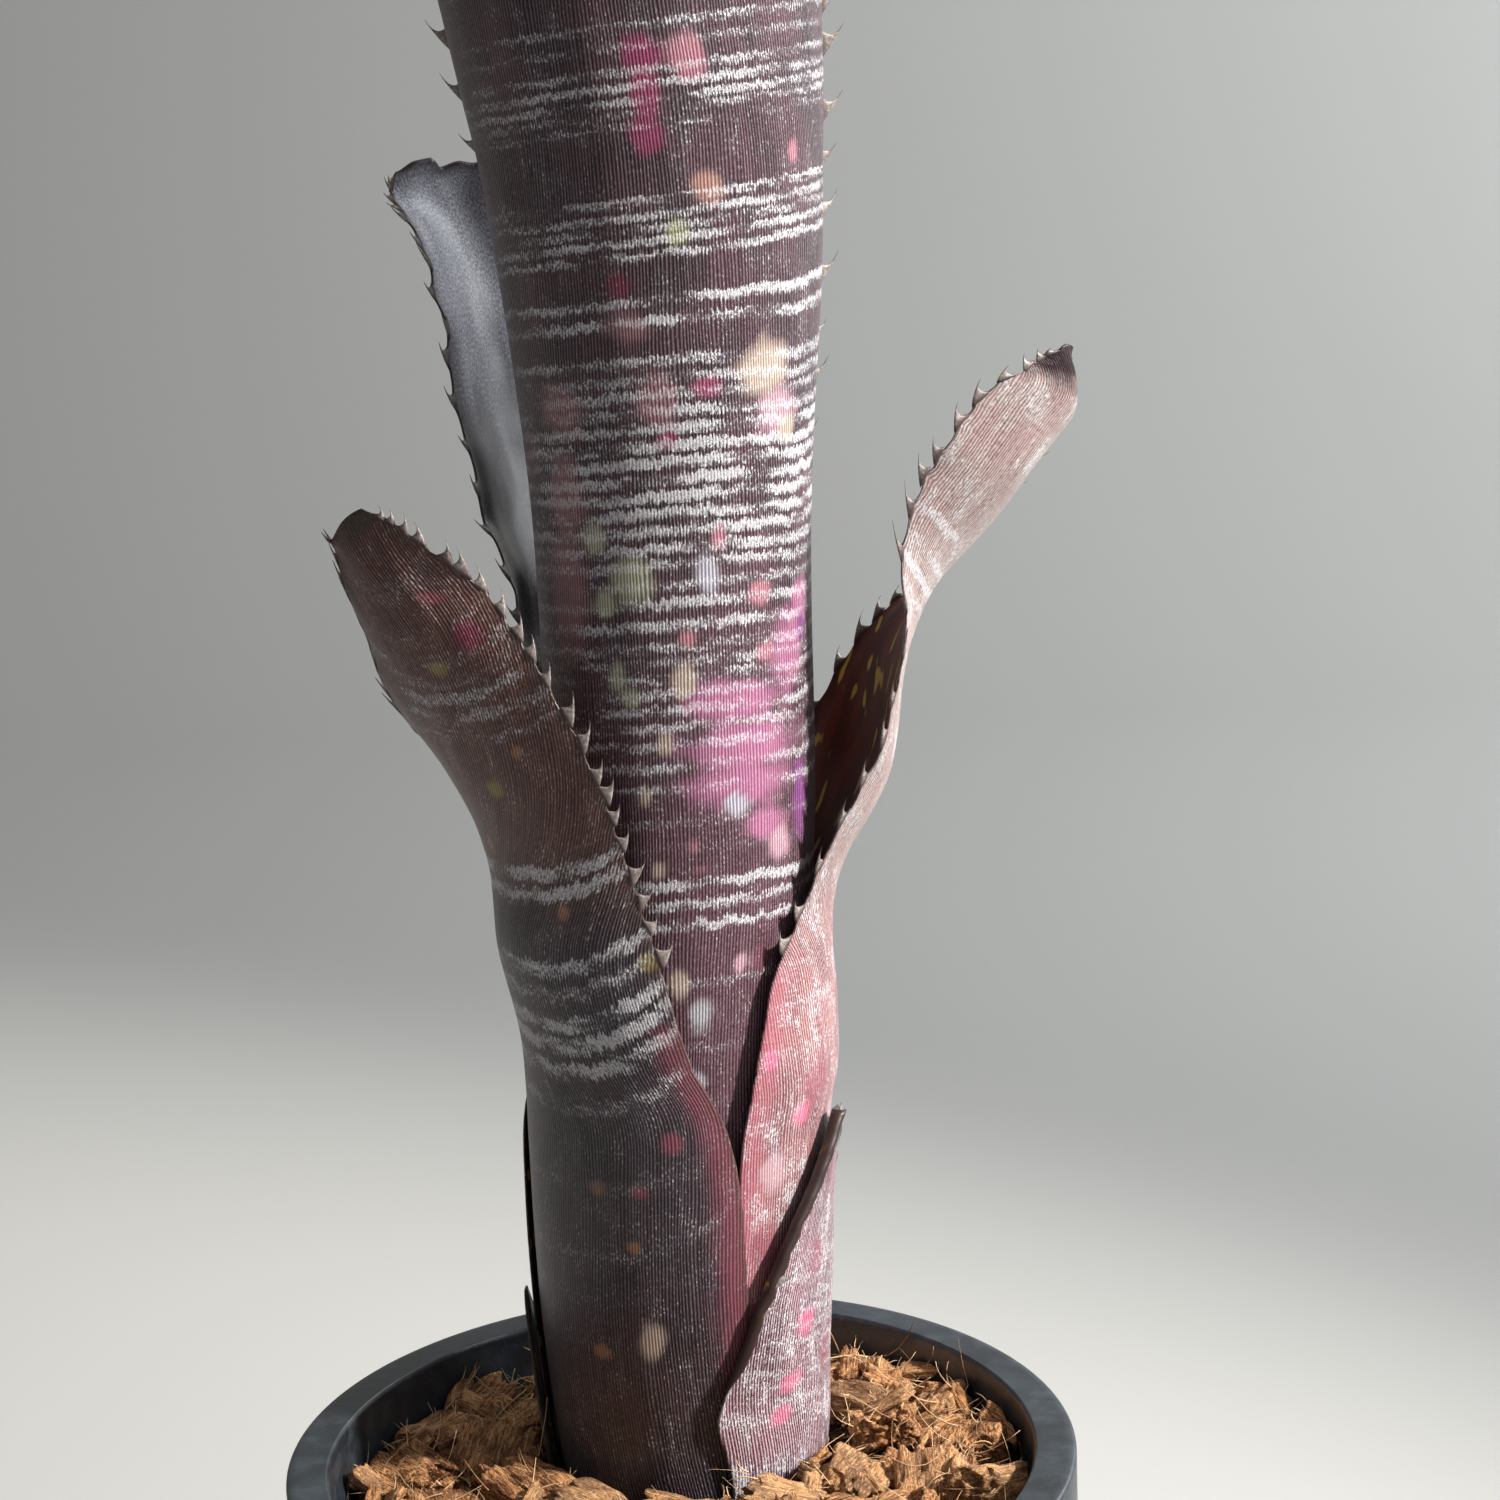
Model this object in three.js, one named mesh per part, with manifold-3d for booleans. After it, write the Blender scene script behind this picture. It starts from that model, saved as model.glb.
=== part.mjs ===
// A potted tube bromeliad: overlapping strap leaves wrapped round a short stem, held in a
// round nursery pot full of coconut-husk chips.
// Units are millimetres, +Z is up, the pot stands on z = 0 and its axis is x = y = 0.
// Bearings round the plant are in degrees: 0 faces -Y (the front) and +90 faces +X (the right).
import * as THREE from 'three';
import { mergeVertices } from 'three/addons/utils/BufferGeometryUtils.js';
import Module from 'manifold-3d';

// ---------------------------------------------------------------- sizes
const POT_HEIGHT = 130;
const POT_LIP_RADIUS = 75;          // outside of the rolled lip
const POT_BASE_RADIUS = 52.5;
const POT_WALL = 1.6;
const LIP_WIDTH = 8;                // from the outside of the lip to the mouth
const LIP_DEPTH = 12;               // height of the lip's skirt
const DRAIN_HOLE_RADIUS = 4;
const DRAIN_HOLES = 6;

const BED_DROP = 16;                // the packed bed lies this far below the rim
const CHIP_HEIGHT = 9;

const LEAF_LENGTH = 350;            // the front leaf, from the bed to its tip
const TUBE_RADIUS = 25.5;           // the front leaf at the waist of the tube
const LEAF_THICKNESS = 0.95;
const LAYER_GAP = 0.62;             // air between one leaf and the next
const SPINE_LENGTH = 3.6;
const SPINE_ROOT = 1.8;             // how deep a spine is rooted inside the margin
const STEM_RADIUS = 12.5;
const FIT_GAP = 0.4;                // between parts that rest against each other

// ---------------------------------------------------------------- sizes that follow
const RAD = Math.PI / 180;
const LEVEL = POT_HEIGHT - 12;      // where the leaves leave the chips
const BED_TOP = POT_HEIGHT - BED_DROP;
const MOUTH_RADIUS = POT_LIP_RADIUS - LIP_WIDTH;
const WALL_TOP_RADIUS = MOUTH_RADIUS + POT_WALL * 0.6;
const FLOOR = 2 * POT_WALL;
const LAYER_PITCH = LEAF_THICKNESS + LAYER_GAP;
const H = LEAF_LENGTH / 350;
const R = TUBE_RADIUS / 25.5;
const OUTER_LAYER = 7;

// A smooth curve through the points [position, value], held level past both ends.
function curveThrough(points) {
  return (at) => {
    const last = points.length - 1;
    if (at <= points[0][0]) return points[0][1];
    if (at >= points[last][0]) return points[last][1];
    let i = 0;
    while (at > points[i + 1][0]) i += 1;
    const slope = (j) => {
      const a = points[Math.max(j - 1, 0)];
      const b = points[Math.min(j + 1, last)];
      return (b[1] - a[1]) / (b[0] - a[0]);
    };
    const [x0, y0] = points[i];
    const [x1, y1] = points[i + 1];
    const span = x1 - x0;
    const t = (at - x0) / span;
    const ease = t * t * (3 - 2 * t);
    return y0 + (y1 - y0) * ease
      + span * (slope(i) * t * (1 - t) * (1 - t) - slope(i + 1) * t * t * (1 - t));
  };
}

// Outside radius of the front leaf against height above the chips, and the sideways
// wander of the tube's centre line.
const tubeRadius = curveThrough([
  [-20, 17], [0, 21], [22, 23.2], [47, 24.4], [82, 25], [132, 25.5], [172, 25.7],
  [190, 26.2], [208, 27.5], [227, 29.3], [252, 31.4], [264, 32.8], [280, 34.4], [312, 38],
  [350, 43],
]);
const tubeSway = curveThrough([
  [0, 0], [60, 0.4], [100, 2], [130, 3.6], [170, 4], [227, 4], [252, 3], [280, 0.7],
  [320, -2], [350, -4],
]);
const layerRadius = (layer, h) => tubeRadius(h / H) * R + (layer - 2) * LAYER_PITCH;
const PLANT_RADIUS = layerRadius(OUTER_LAYER, 15 * H);
const PLANT_X = 1;
const PLANT_Y = 0.68 * (MOUTH_RADIUS - PLANT_RADIUS);

// ---------------------------------------------------------------- leaves
// A station is a cross-section of a leaf: its left margin, midrib and right margin, each
// as { h, az, out }: height above the chips, bearing, and how far it stands clear of the
// leaf's own layer of the tube.
function wrap(h, from, to, outLeft = 0, outMid = 0, outRight = 0) {
  return [
    { h, az: from, out: outLeft },
    { h, az: (from + to) / 2, out: outMid },
    { h, az: to, out: outRight },
  ];
}

function blade(...points) {
  return points.map(([h, az, out]) => ({ h, az, out }));
}

const LEAVES = {
  young_leaf: {
    layer: 0,
    rolled: true,
    stations: [
      wrap(-1, 30, 330), wrap(60, 22, 338), wrap(140, 20, 340), wrap(220, 24, 336),
      wrap(280, 32, 328), wrap(306, 60, 300), wrap(322, 120, 240), wrap(328, 165, 195),
    ],
  },
  back_leaf: {
    layer: 1,
    stations: [
      wrap(-14, 85, 275), wrap(5, 82, 278), wrap(32, 80, 280), wrap(132, 80, 280), wrap(177, 81, 279),
      wrap(200, 82, 278), wrap(222, 84, 276),
      wrap(257, 88, 272), wrap(280, 95, 265), wrap(307, 114, 246), wrap(327, 136, 224, 1, 3, 1),
      wrap(340, 158, 202, 5, 7, 5), wrap(345, 173, 187, 9, 10, 9),
    ],
    spines: [[0, 0.72, 0.93, 6], [1, 0.72, 0.93, 6]],
  },
  front_leaf: {
    layer: 2,
    stations: [
      wrap(-16, -98, 95), wrap(4, -112, 108), wrap(32, -122, 118), wrap(102, -126, 122),
      wrap(172, -122, 118), wrap(198, -116, 111), wrap(222, -108, 102), wrap(256, -96, 93),
      wrap(280, -92, 88), wrap(307, -80, 76, 1, 0.5, 0), wrap(330, -60, 54, 3, 4, 2),
      wrap(344, -36, 26, 8, 10, 7), wrap(350, -13, 1, 13, 14, 13),
    ],
    spines: [[0, 0.6, 0.95, 13], [1, 0.52, 0.95, 16]],
  },
  back_left_leaf: {
    layer: 3,
    stations: [
      wrap(-18, -230, -40), wrap(3, -233, -37), wrap(32, -235, -35), wrap(102, -230, -40),
      wrap(132, -222, -60), wrap(152, -212, -88),
      blade([167, -200, 3], [167, -145, 5], [167, -115, 7]),
      blade([182, -188, 9], [182, -148, 12.5], [182, -114, 10.8]),
      blade([202, -178, 14], [202, -146, 18], [202, -117, 16.3]),
      blade([222, -173, 14], [222, -145, 21], [222, -119, 18.5]),
      blade([240, -168, 14], [239, -143, 23], [238, -121, 23.5]),
      blade([251, -158, 13], [250, -140, 22.5], [247, -121, 26.4]),
      blade([253, -151, 13], [254, -139, 20], [252, -122, 25]),
    ],
    spines: [[0, 0.5, 0.93, 9], [1, 0.5, 0.95, 10]],
  },
  right_leaf: {
    layer: 4,
    stations: [
      wrap(-20, 20, 200), wrap(2, 21, 203), wrap(22, 22, 205), wrap(52, 24, 205, 0, 0.6, 0),
      wrap(70, 25, 201, 0, 1.6, 0), wrap(80, 29, 195, 0, 3, 0), wrap(92, 34, 185, 0, 2.4, 0),
      wrap(103, 39, 175, 0, 1.2, 0.5), blade([116, 55, 0.3], [113, 95, 1.2], [117, 155, 1.5]),
      blade([129, 63, 4.4], [122, 91, 3.5], [131, 139, 5.5]),
      blade([144, 68, 11.6], [137, 92, 10.8], [146, 132, 8.8]),
      blade([164, 70, 16], [157, 89, 14], [162, 118, 15.3]),
      blade([185, 71, 16.6], [175, 85, 20.8], [170, 108, 20.5]),
      blade([199, 73, 22.4], [190, 85, 33], [184, 99, 32]),
      blade([209, 76, 29.2], [201, 86, 40.8], [196, 96, 40.5]),
      blade([212.5, 79, 35.4], [207, 86, 44.5], [203, 92, 42.6]),
      blade([216, 81.8, 41.6], [216.6, 83, 42.6], [215.8, 84.3, 43.7]),
    ],
    spines: [[0, 0.46, 0.97, 17], [1, 0.5, 0.97, 14]],
  },
  left_leaf: {
    layer: 5,
    stations: [
      wrap(-22, -175, 30), wrap(1, -177, 28), wrap(22, -178, 27), wrap(51, -172, 25),
      wrap(65, -168, 23), wrap(78, -162, 16, 0, 0.3, 0),
      blade([90, -150, 0.3], [90, -82, 1.5], [90, 4, 0]),
      blade([109, -130, 3], [108, -84, 5.6], [109, -7, 0]),
      blade([125, -112, 6.5], [122, -76, 6.5], [126, -17.5, 1]),
      blade([142, -95, 16.5], [138, -66, 9.5], [144, -27, 3.3]),
      blade([157, -86, 24.5], [155, -65, 14.5], [162, -41.5, 5.7]),
      blade([172, -84, 29.5], [169, -68, 19.5], [177, -58, 9.8]),
      blade([184, -84.5, 32.5], [181, -76, 26.5], [187.5, -70.5, 20]),
      blade([185, -84, 32.3], [189.5, -80.5, 30], [192, -77.5, 26.5]),
    ],
    spines: [[0, 0.6, 0.94, 9], [1, 0.54, 0.95, 15]],
  },
  front_basal_leaf: {
    layer: 6,
    stations: [
      wrap(-22, 10, 108), wrap(1, 18, 104), wrap(20, 11, 100, 0, -0.5, -1.1),
      wrap(35, 20, 95, 0, -0.5, -1.1), wrap(42, 26, 94, 0, -0.5, -1.1),
      wrap(53, 38, 91, 0, -0.4, -1), wrap(61, 49, 87, 0.3, 0, -0.3),
      wrap(67, 57, 83, 0.5, 0.5, 0.5), wrap(73, 65, 75, 0.7, 0.7, 0.7),
    ],
    spines: [[0, 0.62, 0.95, 5]],
  },
  left_basal_leaf: {
    layer: 6,
    stations: [
      wrap(-22, -185, -85), wrap(0, -185, -87), wrap(22, -185, -88), wrap(47, -175, -92),
      wrap(62, -160, -95), wrap(69, -146, -99), wrap(74, -125, -106),
    ],
  },
  dry_basal_scale: {
    layer: 7,
    stations: [
      wrap(-20, -118, -70), wrap(-2, -117, -72), wrap(10, -115, -75), wrap(22, -108, -78),
      wrap(30, -100, -84), wrap(34, -95, -90),
    ],
  },
};

// The rolled young leaf has a small tube of its own that leans back inside the others.
const rolledRadius = curveThrough([[-2, 8], [60, 9.5], [200, 11.5], [290, 13], [330, 15]]);
const rolledLean = curveThrough([[0, 0], [80, 5], [200, 9], [330, 12]]);

function placed(leaf, point) {
  const h = point.h * H;
  const radius = leaf.rolled
    ? rolledRadius(point.h) * R
    : layerRadius(leaf.layer, h) + point.out;
  const back = leaf.rolled ? rolledLean(point.h) : 0;
  return new THREE.Vector3(
    PLANT_X + tubeSway(point.h) + radius * Math.sin(point.az * RAD),
    PLANT_Y + back - radius * Math.cos(point.az * RAD),
    LEVEL + h,
  );
}

// One point of the leaf surface: along runs 0..1 from base to tip, across runs -1..1 from
// the left margin to the right. The outside face is meant.
function leafPoint(leaf, along, across) {
  const last = leaf.stations.length - 1;
  const reach = Math.min(Math.max(along, 0), 1) * last;
  const i = Math.min(Math.floor(reach), last - 1);
  const t = reach - i;
  const line = (side, key) => {
    const value = (j) => leaf.stations[Math.min(Math.max(j, 0), last)][side][key];
    const before = i > 0 ? value(i - 1) : 2 * value(i) - value(i + 1);
    const after = i + 2 <= last ? value(i + 2) : 2 * value(i + 1) - value(i);
    const [a, b] = [value(i), value(i + 1)];
    return 0.5 * (2 * a + (b - before) * t + (2 * before - 5 * a + 4 * b - after) * t * t
      + (3 * a - before - 3 * b + after) * t * t * t);
  };
  const point = {};
  for (const key of ['h', 'az', 'out']) {
    const [left, mid, right] = [line(0, key), line(1, key), line(2, key)];
    point[key] = mid + (across * (right - left)) / 2 + across * across * ((left + right) / 2 - mid);
  }
  return placed(leaf, point);
}

// Outward normal of the leaf surface.
function leafNormal(leaf, along, across) {
  const step = 0.002;
  const lengthwise = leafPoint(leaf, along + step, across)
    .sub(leafPoint(leaf, along - step, across));
  const crosswise = leafPoint(leaf, along, Math.min(across + step, 1))
    .sub(leafPoint(leaf, along, Math.max(across - step, -1)));
  return crosswise.cross(lengthwise).normalize();
}

// A closed skin of two sheets of points, the outer one and the inner one, sewn at the edges.
function shellGeometry(outer, inner) {
  const rows = outer.length;
  const columns = outer[0].length;
  const points = [...outer.flat(), ...inner.flat()];
  const front = (i, j) => i * columns + j;
  const back = (i, j) => rows * columns + i * columns + j;
  const faces = [];
  const quad = (a, b, c, d) => faces.push(a, b, c, a, c, d);
  for (let i = 0; i < rows - 1; i += 1) {
    for (let j = 0; j < columns - 1; j += 1) {
      quad(front(i, j), front(i, j + 1), front(i + 1, j + 1), front(i + 1, j));
      quad(back(i, j), back(i + 1, j), back(i + 1, j + 1), back(i, j + 1));
    }
    quad(front(i, 0), front(i + 1, 0), back(i + 1, 0), back(i, 0));
    quad(front(i, columns - 1), back(i, columns - 1), back(i + 1, columns - 1),
      front(i + 1, columns - 1));
  }
  for (let j = 0; j < columns - 1; j += 1) {
    quad(front(0, j), back(0, j), back(0, j + 1), front(0, j + 1));
    quad(front(rows - 1, j), front(rows - 1, j + 1), back(rows - 1, j + 1), back(rows - 1, j));
  }
  return geometryFrom(points, faces);
}

function geometryFrom(points, faces) {
  const geometry = new THREE.BufferGeometry();
  geometry.setAttribute('position',
    new THREE.Float32BufferAttribute(points.flatMap((p) => [p.x, p.y, p.z]), 3));
  geometry.setIndex(faces);
  return geometry;
}

function leafGeometry(leaf, rows, columns) {
  const outer = [];
  const inner = [];
  for (let i = 0; i < rows; i += 1) {
    const outerRow = [];
    const innerRow = [];
    for (let j = 0; j < columns; j += 1) {
      const along = i / (rows - 1);
      const across = (2 * j) / (columns - 1) - 1;
      const point = leafPoint(leaf, along, across);
      const thickness = LEAF_THICKNESS * (1 - 0.35 * across ** 4);
      outerRow.push(point);
      innerRow.push(point.clone().addScaledVector(leafNormal(leaf, along, across), -thickness));
    }
    outer.push(outerRow);
    inner.push(innerRow);
  }
  return shellGeometry(outer, inner);
}

// A margin spine: a flat thorn that starts just inside the margin and hooks toward the tip.
function spineGeometry(leaf, along, side) {
  const margin = side === 0 ? -1 : 1;
  const root = leafPoint(leaf, along, margin);
  const within = leafPoint(leaf, along, margin * 0.94);
  const outward = root.clone().sub(within).normalize();
  const tipward = leafPoint(leaf, along + 0.01, margin)
    .sub(leafPoint(leaf, along - 0.01, margin)).normalize();
  const normal = leafNormal(leaf, along, margin);
  const middle = root.clone().addScaledVector(normal, -LEAF_THICKNESS * 0.33);
  const corner = (inward, up, lift) => middle.clone()
    .addScaledVector(outward, -inward)
    .addScaledVector(tipward, up)
    .addScaledVector(normal, lift);
  const half = LEAF_THICKNESS * 0.22;
  const tip = corner(-SPINE_LENGTH * 0.85, SPINE_LENGTH * 0.55, 0);
  const base = SPINE_LENGTH * 0.5;
  const points = [
    corner(SPINE_ROOT, -base, -half), corner(SPINE_ROOT, base, -half),
    corner(SPINE_ROOT, base, half),
    corner(SPINE_ROOT, -base, half), tip,
  ];
  const faces = [0, 1, 2, 0, 2, 3, 0, 4, 1, 1, 4, 2, 2, 4, 3, 3, 4, 0];
  return geometryFrom(points, faces);
}

// ---------------------------------------------------------------- solid helpers
const wasm = await Module();
wasm.setup();

function toSolid(source) {
  const geometry = source.clone();
  geometry.deleteAttribute('normal');
  geometry.deleteAttribute('uv');
  const merged = mergeVertices(geometry, 1e-4);
  const solid = new wasm.Manifold(new wasm.Mesh({
    numProp: 3,
    vertProperties: new Float32Array(merged.attributes.position.array),
    triVerts: new Uint32Array(merged.index.array),
  }));
  // A skin wound the other way round holds a negative volume: turn it outside out.
  if (solid.volume() >= 0) return solid;
  const flipped = new Uint32Array(merged.index.array);
  for (let i = 0; i < flipped.length; i += 3) {
    [flipped[i], flipped[i + 1]] = [flipped[i + 1], flipped[i]];
  }
  return new wasm.Manifold(new wasm.Mesh({
    numProp: 3,
    vertProperties: new Float32Array(merged.attributes.position.array),
    triVerts: flipped,
  }));
}

function toGeometry(solid) {
  const mesh = solid.getMesh();
  const geometry = new THREE.BufferGeometry();
  geometry.setAttribute('position', new THREE.Float32BufferAttribute(mesh.vertProperties, 3));
  geometry.setIndex(Array.from(mesh.triVerts));
  return geometry;
}

// Rings of points closed by a point at each end: rings run from the first end to the last.
function ringsGeometry(first, rings, last) {
  const count = rings[0].length;
  const points = [first, ...rings.flat(), last];
  const at = (i, j) => 1 + i * count + (j % count);
  const end = points.length - 1;
  const faces = [];
  for (let j = 0; j < count; j += 1) {
    faces.push(0, at(0, j + 1), at(0, j));
    faces.push(end, at(rings.length - 1, j), at(rings.length - 1, j + 1));
    for (let i = 0; i < rings.length - 1; i += 1) {
      faces.push(at(i, j), at(i, j + 1), at(i + 1, j + 1));
      faces.push(at(i, j), at(i + 1, j + 1), at(i + 1, j));
    }
  }
  return geometryFrom(points, faces);
}

// A turned body about the upright line at (x, y), from a profile of [radius, z] pairs that
// starts and ends on that line.
function turned(profile, segments, x = 0, y = 0) {
  const ring = ([radius, z]) => Array.from({ length: segments }, (_, j) => {
    const angle = (2 * Math.PI * j) / segments;
    return new THREE.Vector3(x + radius * Math.sin(angle), y - radius * Math.cos(angle), z);
  });
  const start = profile[0];
  const end = profile[profile.length - 1];
  return ringsGeometry(new THREE.Vector3(x, y, start[1]), profile.slice(1, -1).map(ring),
    new THREE.Vector3(x, y, end[1]));
}

// ---------------------------------------------------------------- pot
function potGeometry() {
  const top = POT_HEIGHT;
  const shoulder = top - LIP_DEPTH;
  const profile = [
    [0, 0], [POT_BASE_RADIUS - 2, 0], [POT_BASE_RADIUS, 2],
    [WALL_TOP_RADIUS, shoulder], [POT_LIP_RADIUS - 0.8, shoulder],
    [POT_LIP_RADIUS, shoulder + 1], [POT_LIP_RADIUS, top - 2.6], [POT_LIP_RADIUS - 0.6, top - 0.9],
    [POT_LIP_RADIUS - 1.8, top], [MOUTH_RADIUS + 0.7, top], [MOUTH_RADIUS, top - 0.7],
    [WALL_TOP_RADIUS - POT_WALL, shoulder - 2],
    [POT_BASE_RADIUS - POT_WALL, FLOOR], [0, FLOOR],
  ];
  let pot = toSolid(turned(profile, 60));
  for (let i = 0; i < DRAIN_HOLES; i += 1) {
    const angle = (2 * Math.PI * i) / DRAIN_HOLES;
    const hole = new THREE.CylinderGeometry(DRAIN_HOLE_RADIUS, DRAIN_HOLE_RADIUS, 4 * FLOOR, 16);
    hole.rotateX(Math.PI / 2);
    hole.translate(0.62 * POT_BASE_RADIUS * Math.cos(angle),
      0.62 * POT_BASE_RADIUS * Math.sin(angle), FLOOR / 2);
    pot = pot.subtract(toSolid(hole));
  }
  return toGeometry(pot);
}

// Inside radius of the pot at height z.
function potInside(z) {
  const top = POT_HEIGHT - LIP_DEPTH - 2;
  if (z >= top) return WALL_TOP_RADIUS - POT_WALL;
  const share = (z - FLOOR) / (top - FLOOR);
  const low = POT_BASE_RADIUS - POT_WALL;
  return low + share * (WALL_TOP_RADIUS - POT_WALL - low);
}

// ---------------------------------------------------------------- husk bed
// Distance from the plant's centre line to a circle about the pot's centre, on a bearing.
function reachTo(radius, bearing) {
  const [dx, dy] = [Math.sin(bearing * RAD), -Math.cos(bearing * RAD)];
  const along = PLANT_X * dx + PLANT_Y * dy;
  const off = PLANT_X * PLANT_X + PLANT_Y * PLANT_Y;
  return -along + Math.sqrt(along * along - off + radius * radius);
}

// The top of the packed bed: a low mound toward the back right, with gentle lumps.
function bedTop(x, y) {
  const across = x / MOUTH_RADIUS;
  const deep = y / MOUTH_RADIUS;
  const mound = 2.6 * across + 1.6 * deep * Math.max(across, -0.4);
  const lumps = 0.5 * Math.sin(x / 6.1 + 1) * Math.cos(y / 5.7) + 0.3 * Math.sin((x + y) / 7.3);
  return BED_TOP + mound + lumps;
}

const NECK_RADIUS = layerRadius(OUTER_LAYER, -22 * H);
const NECK = LEVEL - 26 * H;        // the leaf bases start above this height

function aroundPlant(radius, z, bearing) {
  return new THREE.Vector3(PLANT_X + radius * Math.sin(bearing * RAD),
    PLANT_Y - radius * Math.cos(bearing * RAD), z);
}

function bedGeometry() {
  const bearings = Array.from({ length: 44 }, (_, j) => (360 * j) / 44);
  const socket = (h) => layerRadius(OUTER_LAYER, h) + 2 * FIT_GAP;
  const rings = [bearings.map((b) => aroundPlant(NECK_RADIUS * 0.75, NECK, b))];
  for (const h of [-22 * H, -12 * H]) {
    rings.push(bearings.map((b) => aroundPlant(socket(h), LEVEL + h, b)));
  }
  const steps = 8;
  for (let i = 0; i <= steps; i += 1) {
    rings.push(bearings.map((b) => {
      const inner = socket(BED_TOP - LEVEL);
      const outer = reachTo(potInside(BED_TOP - 5) - FIT_GAP, b);
      const point = aroundPlant(inner + ((outer - inner) * i) / steps, 0, b);
      point.z = bedTop(point.x, point.y);
      return point;
    }));
  }
  for (const z of [BED_TOP - 10, POT_HEIGHT * 0.45, FLOOR + FIT_GAP]) {
    rings.push(bearings.map((b) => aroundPlant(reachTo(potInside(z) - FIT_GAP, b), z, b)));
  }
  const inner = new THREE.Vector3(PLANT_X, PLANT_Y, NECK);
  const outer = new THREE.Vector3(PLANT_X, PLANT_Y, FLOOR + FIT_GAP);
  const bed = toSolid(ringsGeometry(inner, rings, outer));
  return toGeometry(bed.subtract(stemSolid(FIT_GAP)));
}

// ---------------------------------------------------------------- stem
// A short thick stem under the leaves with a few roots running out into the bed.
function rootGeometry(bearing, length, swell) {
  const sides = 6;
  const joints = 6;
  const rings = [];
  const path = (t) => aroundPlant(5 + length * t, NECK - 8 - 0.45 * length * t * t, bearing + 14 * t);
  for (let i = 0; i <= joints; i += 1) {
    const t = i / joints;
    const centre = path(t);
    const direction = path(t + 0.01).sub(path(t - 0.01)).normalize();
    const side = new THREE.Vector3(0, 0, 1).cross(direction).normalize();
    const up = direction.clone().cross(side);
    const radius = 1.7 - 0.9 * t + swell;
    rings.push(Array.from({ length: sides }, (_, j) => centre.clone()
      .addScaledVector(side, radius * Math.cos((2 * Math.PI * j) / sides))
      .addScaledVector(up, radius * Math.sin((2 * Math.PI * j) / sides))));
  }
  const beyond = path(1 + (1.2 + swell) / length);
  return ringsGeometry(path(0), rings, beyond);
}

function stemSolid(swell = 0) {
  const foot = NECK - 22;
  const top = LEVEL - 5;
  let stem = toSolid(turned([
    [0, foot - swell], [4 + swell, foot - swell], [7 + swell, foot + 4 - swell],
    [9.5 + swell, NECK - 6], [STEM_RADIUS * 0.9 + swell, NECK],
    [STEM_RADIUS + swell, NECK + 10], [STEM_RADIUS + swell, top - 3],
    [STEM_RADIUS - 3 + swell, top + swell], [0, top + swell],
  ], 28, PLANT_X, PLANT_Y));
  const roots = [[-150, 20], [-100, 24], [-50, 32], [-8, 36], [38, 34], [86, 26], [140, 20]];
  for (const [bearing, length] of roots) {
    stem = stem.add(toSolid(rootGeometry(bearing, length, swell)));
  }
  return stem;
}

// ---------------------------------------------------------------- loose husk chips
// Bands of chips round the plant. Each band covers a range of bearings and a share of the
// room between plant and pot, and is cut into as many places as it has chips.
const CHIP_BANDS = [
  { from: -70, to: 70, near: 0.02, far: 0.34, chips: 5 },
  { from: -70, to: 70, near: 0.34, far: 0.67, chips: 7 },
  { from: -70, to: 70, near: 0.67, far: 0.99, chips: 9 },
  { from: 70, to: 125, near: 0.03, far: 0.5, chips: 2 },
  { from: 70, to: 125, near: 0.5, far: 0.98, chips: 3 },
  { from: -125, to: -70, near: 0.03, far: 0.5, chips: 2 },
  { from: -125, to: -70, near: 0.5, far: 0.98, chips: 3 },
  { from: 125, to: 235, near: 0.06, far: 0.94, chips: 5 },
];

// Evenly spread numbers from 0 to 1 that always come out the same.
function scatter(seed) {
  const value = Math.sin(seed * 12.9898 + 4.1) * 43758.5453;
  return value - Math.floor(value);
}

function chipGeometry(band, place, seed) {
  const room = (bearing) => {
    const inner = layerRadius(OUTER_LAYER, 8 * H) + FIT_GAP;
    return [inner, reachTo(potInside(POT_HEIGHT) - FIT_GAP, bearing) - inner];
  };
  const turn = (band.to - band.from) / band.chips;
  const geometry = new THREE.BoxGeometry(1, 1, 1, 3, 2, 2);
  geometry.deleteAttribute('normal');
  geometry.deleteAttribute('uv');
  const chip = mergeVertices(geometry);
  const position = chip.attributes.position;
  const length = 0.4 + 0.05 * scatter(seed);
  const width = 0.38 + 0.07 * scatter(seed + 0.3);
  const height = CHIP_HEIGHT * (0.75 + 0.4 * scatter(seed + 0.6));
  for (let i = 0; i < position.count; i += 1) {
    const [u, v, w] = [position.getX(i) * 2, position.getY(i) * 2, position.getZ(i) * 2];
    const rough = 0.84 + 0.16 * scatter(seed + 7.3 * u + 3.1 * v + 1.7 * w);
    const rounding = 1 - 0.16 * (Math.abs(u) + Math.abs(v) + Math.abs(w) > 2.6 ? 1 : 0);
    const bearing = band.from + turn * (place + 0.5 + u * length * rough * rounding);
    const share = band.near
      + (band.far - band.near) * (0.5 + v * width * rough * rounding);
    const [inner, span] = room(bearing);
    const point = aroundPlant(inner + span * share, 0, bearing);
    const lift = ((w + 1) / 2) * height * rough * (1 - 0.18 * (rounding < 1 ? 1 : 0));
    point.z = bedTop(point.x, point.y) + 1.5 * FIT_GAP + Math.max(lift, 0);
    position.setXYZ(i, point.x, point.y, point.z);
  }
  return chip;
}

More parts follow.
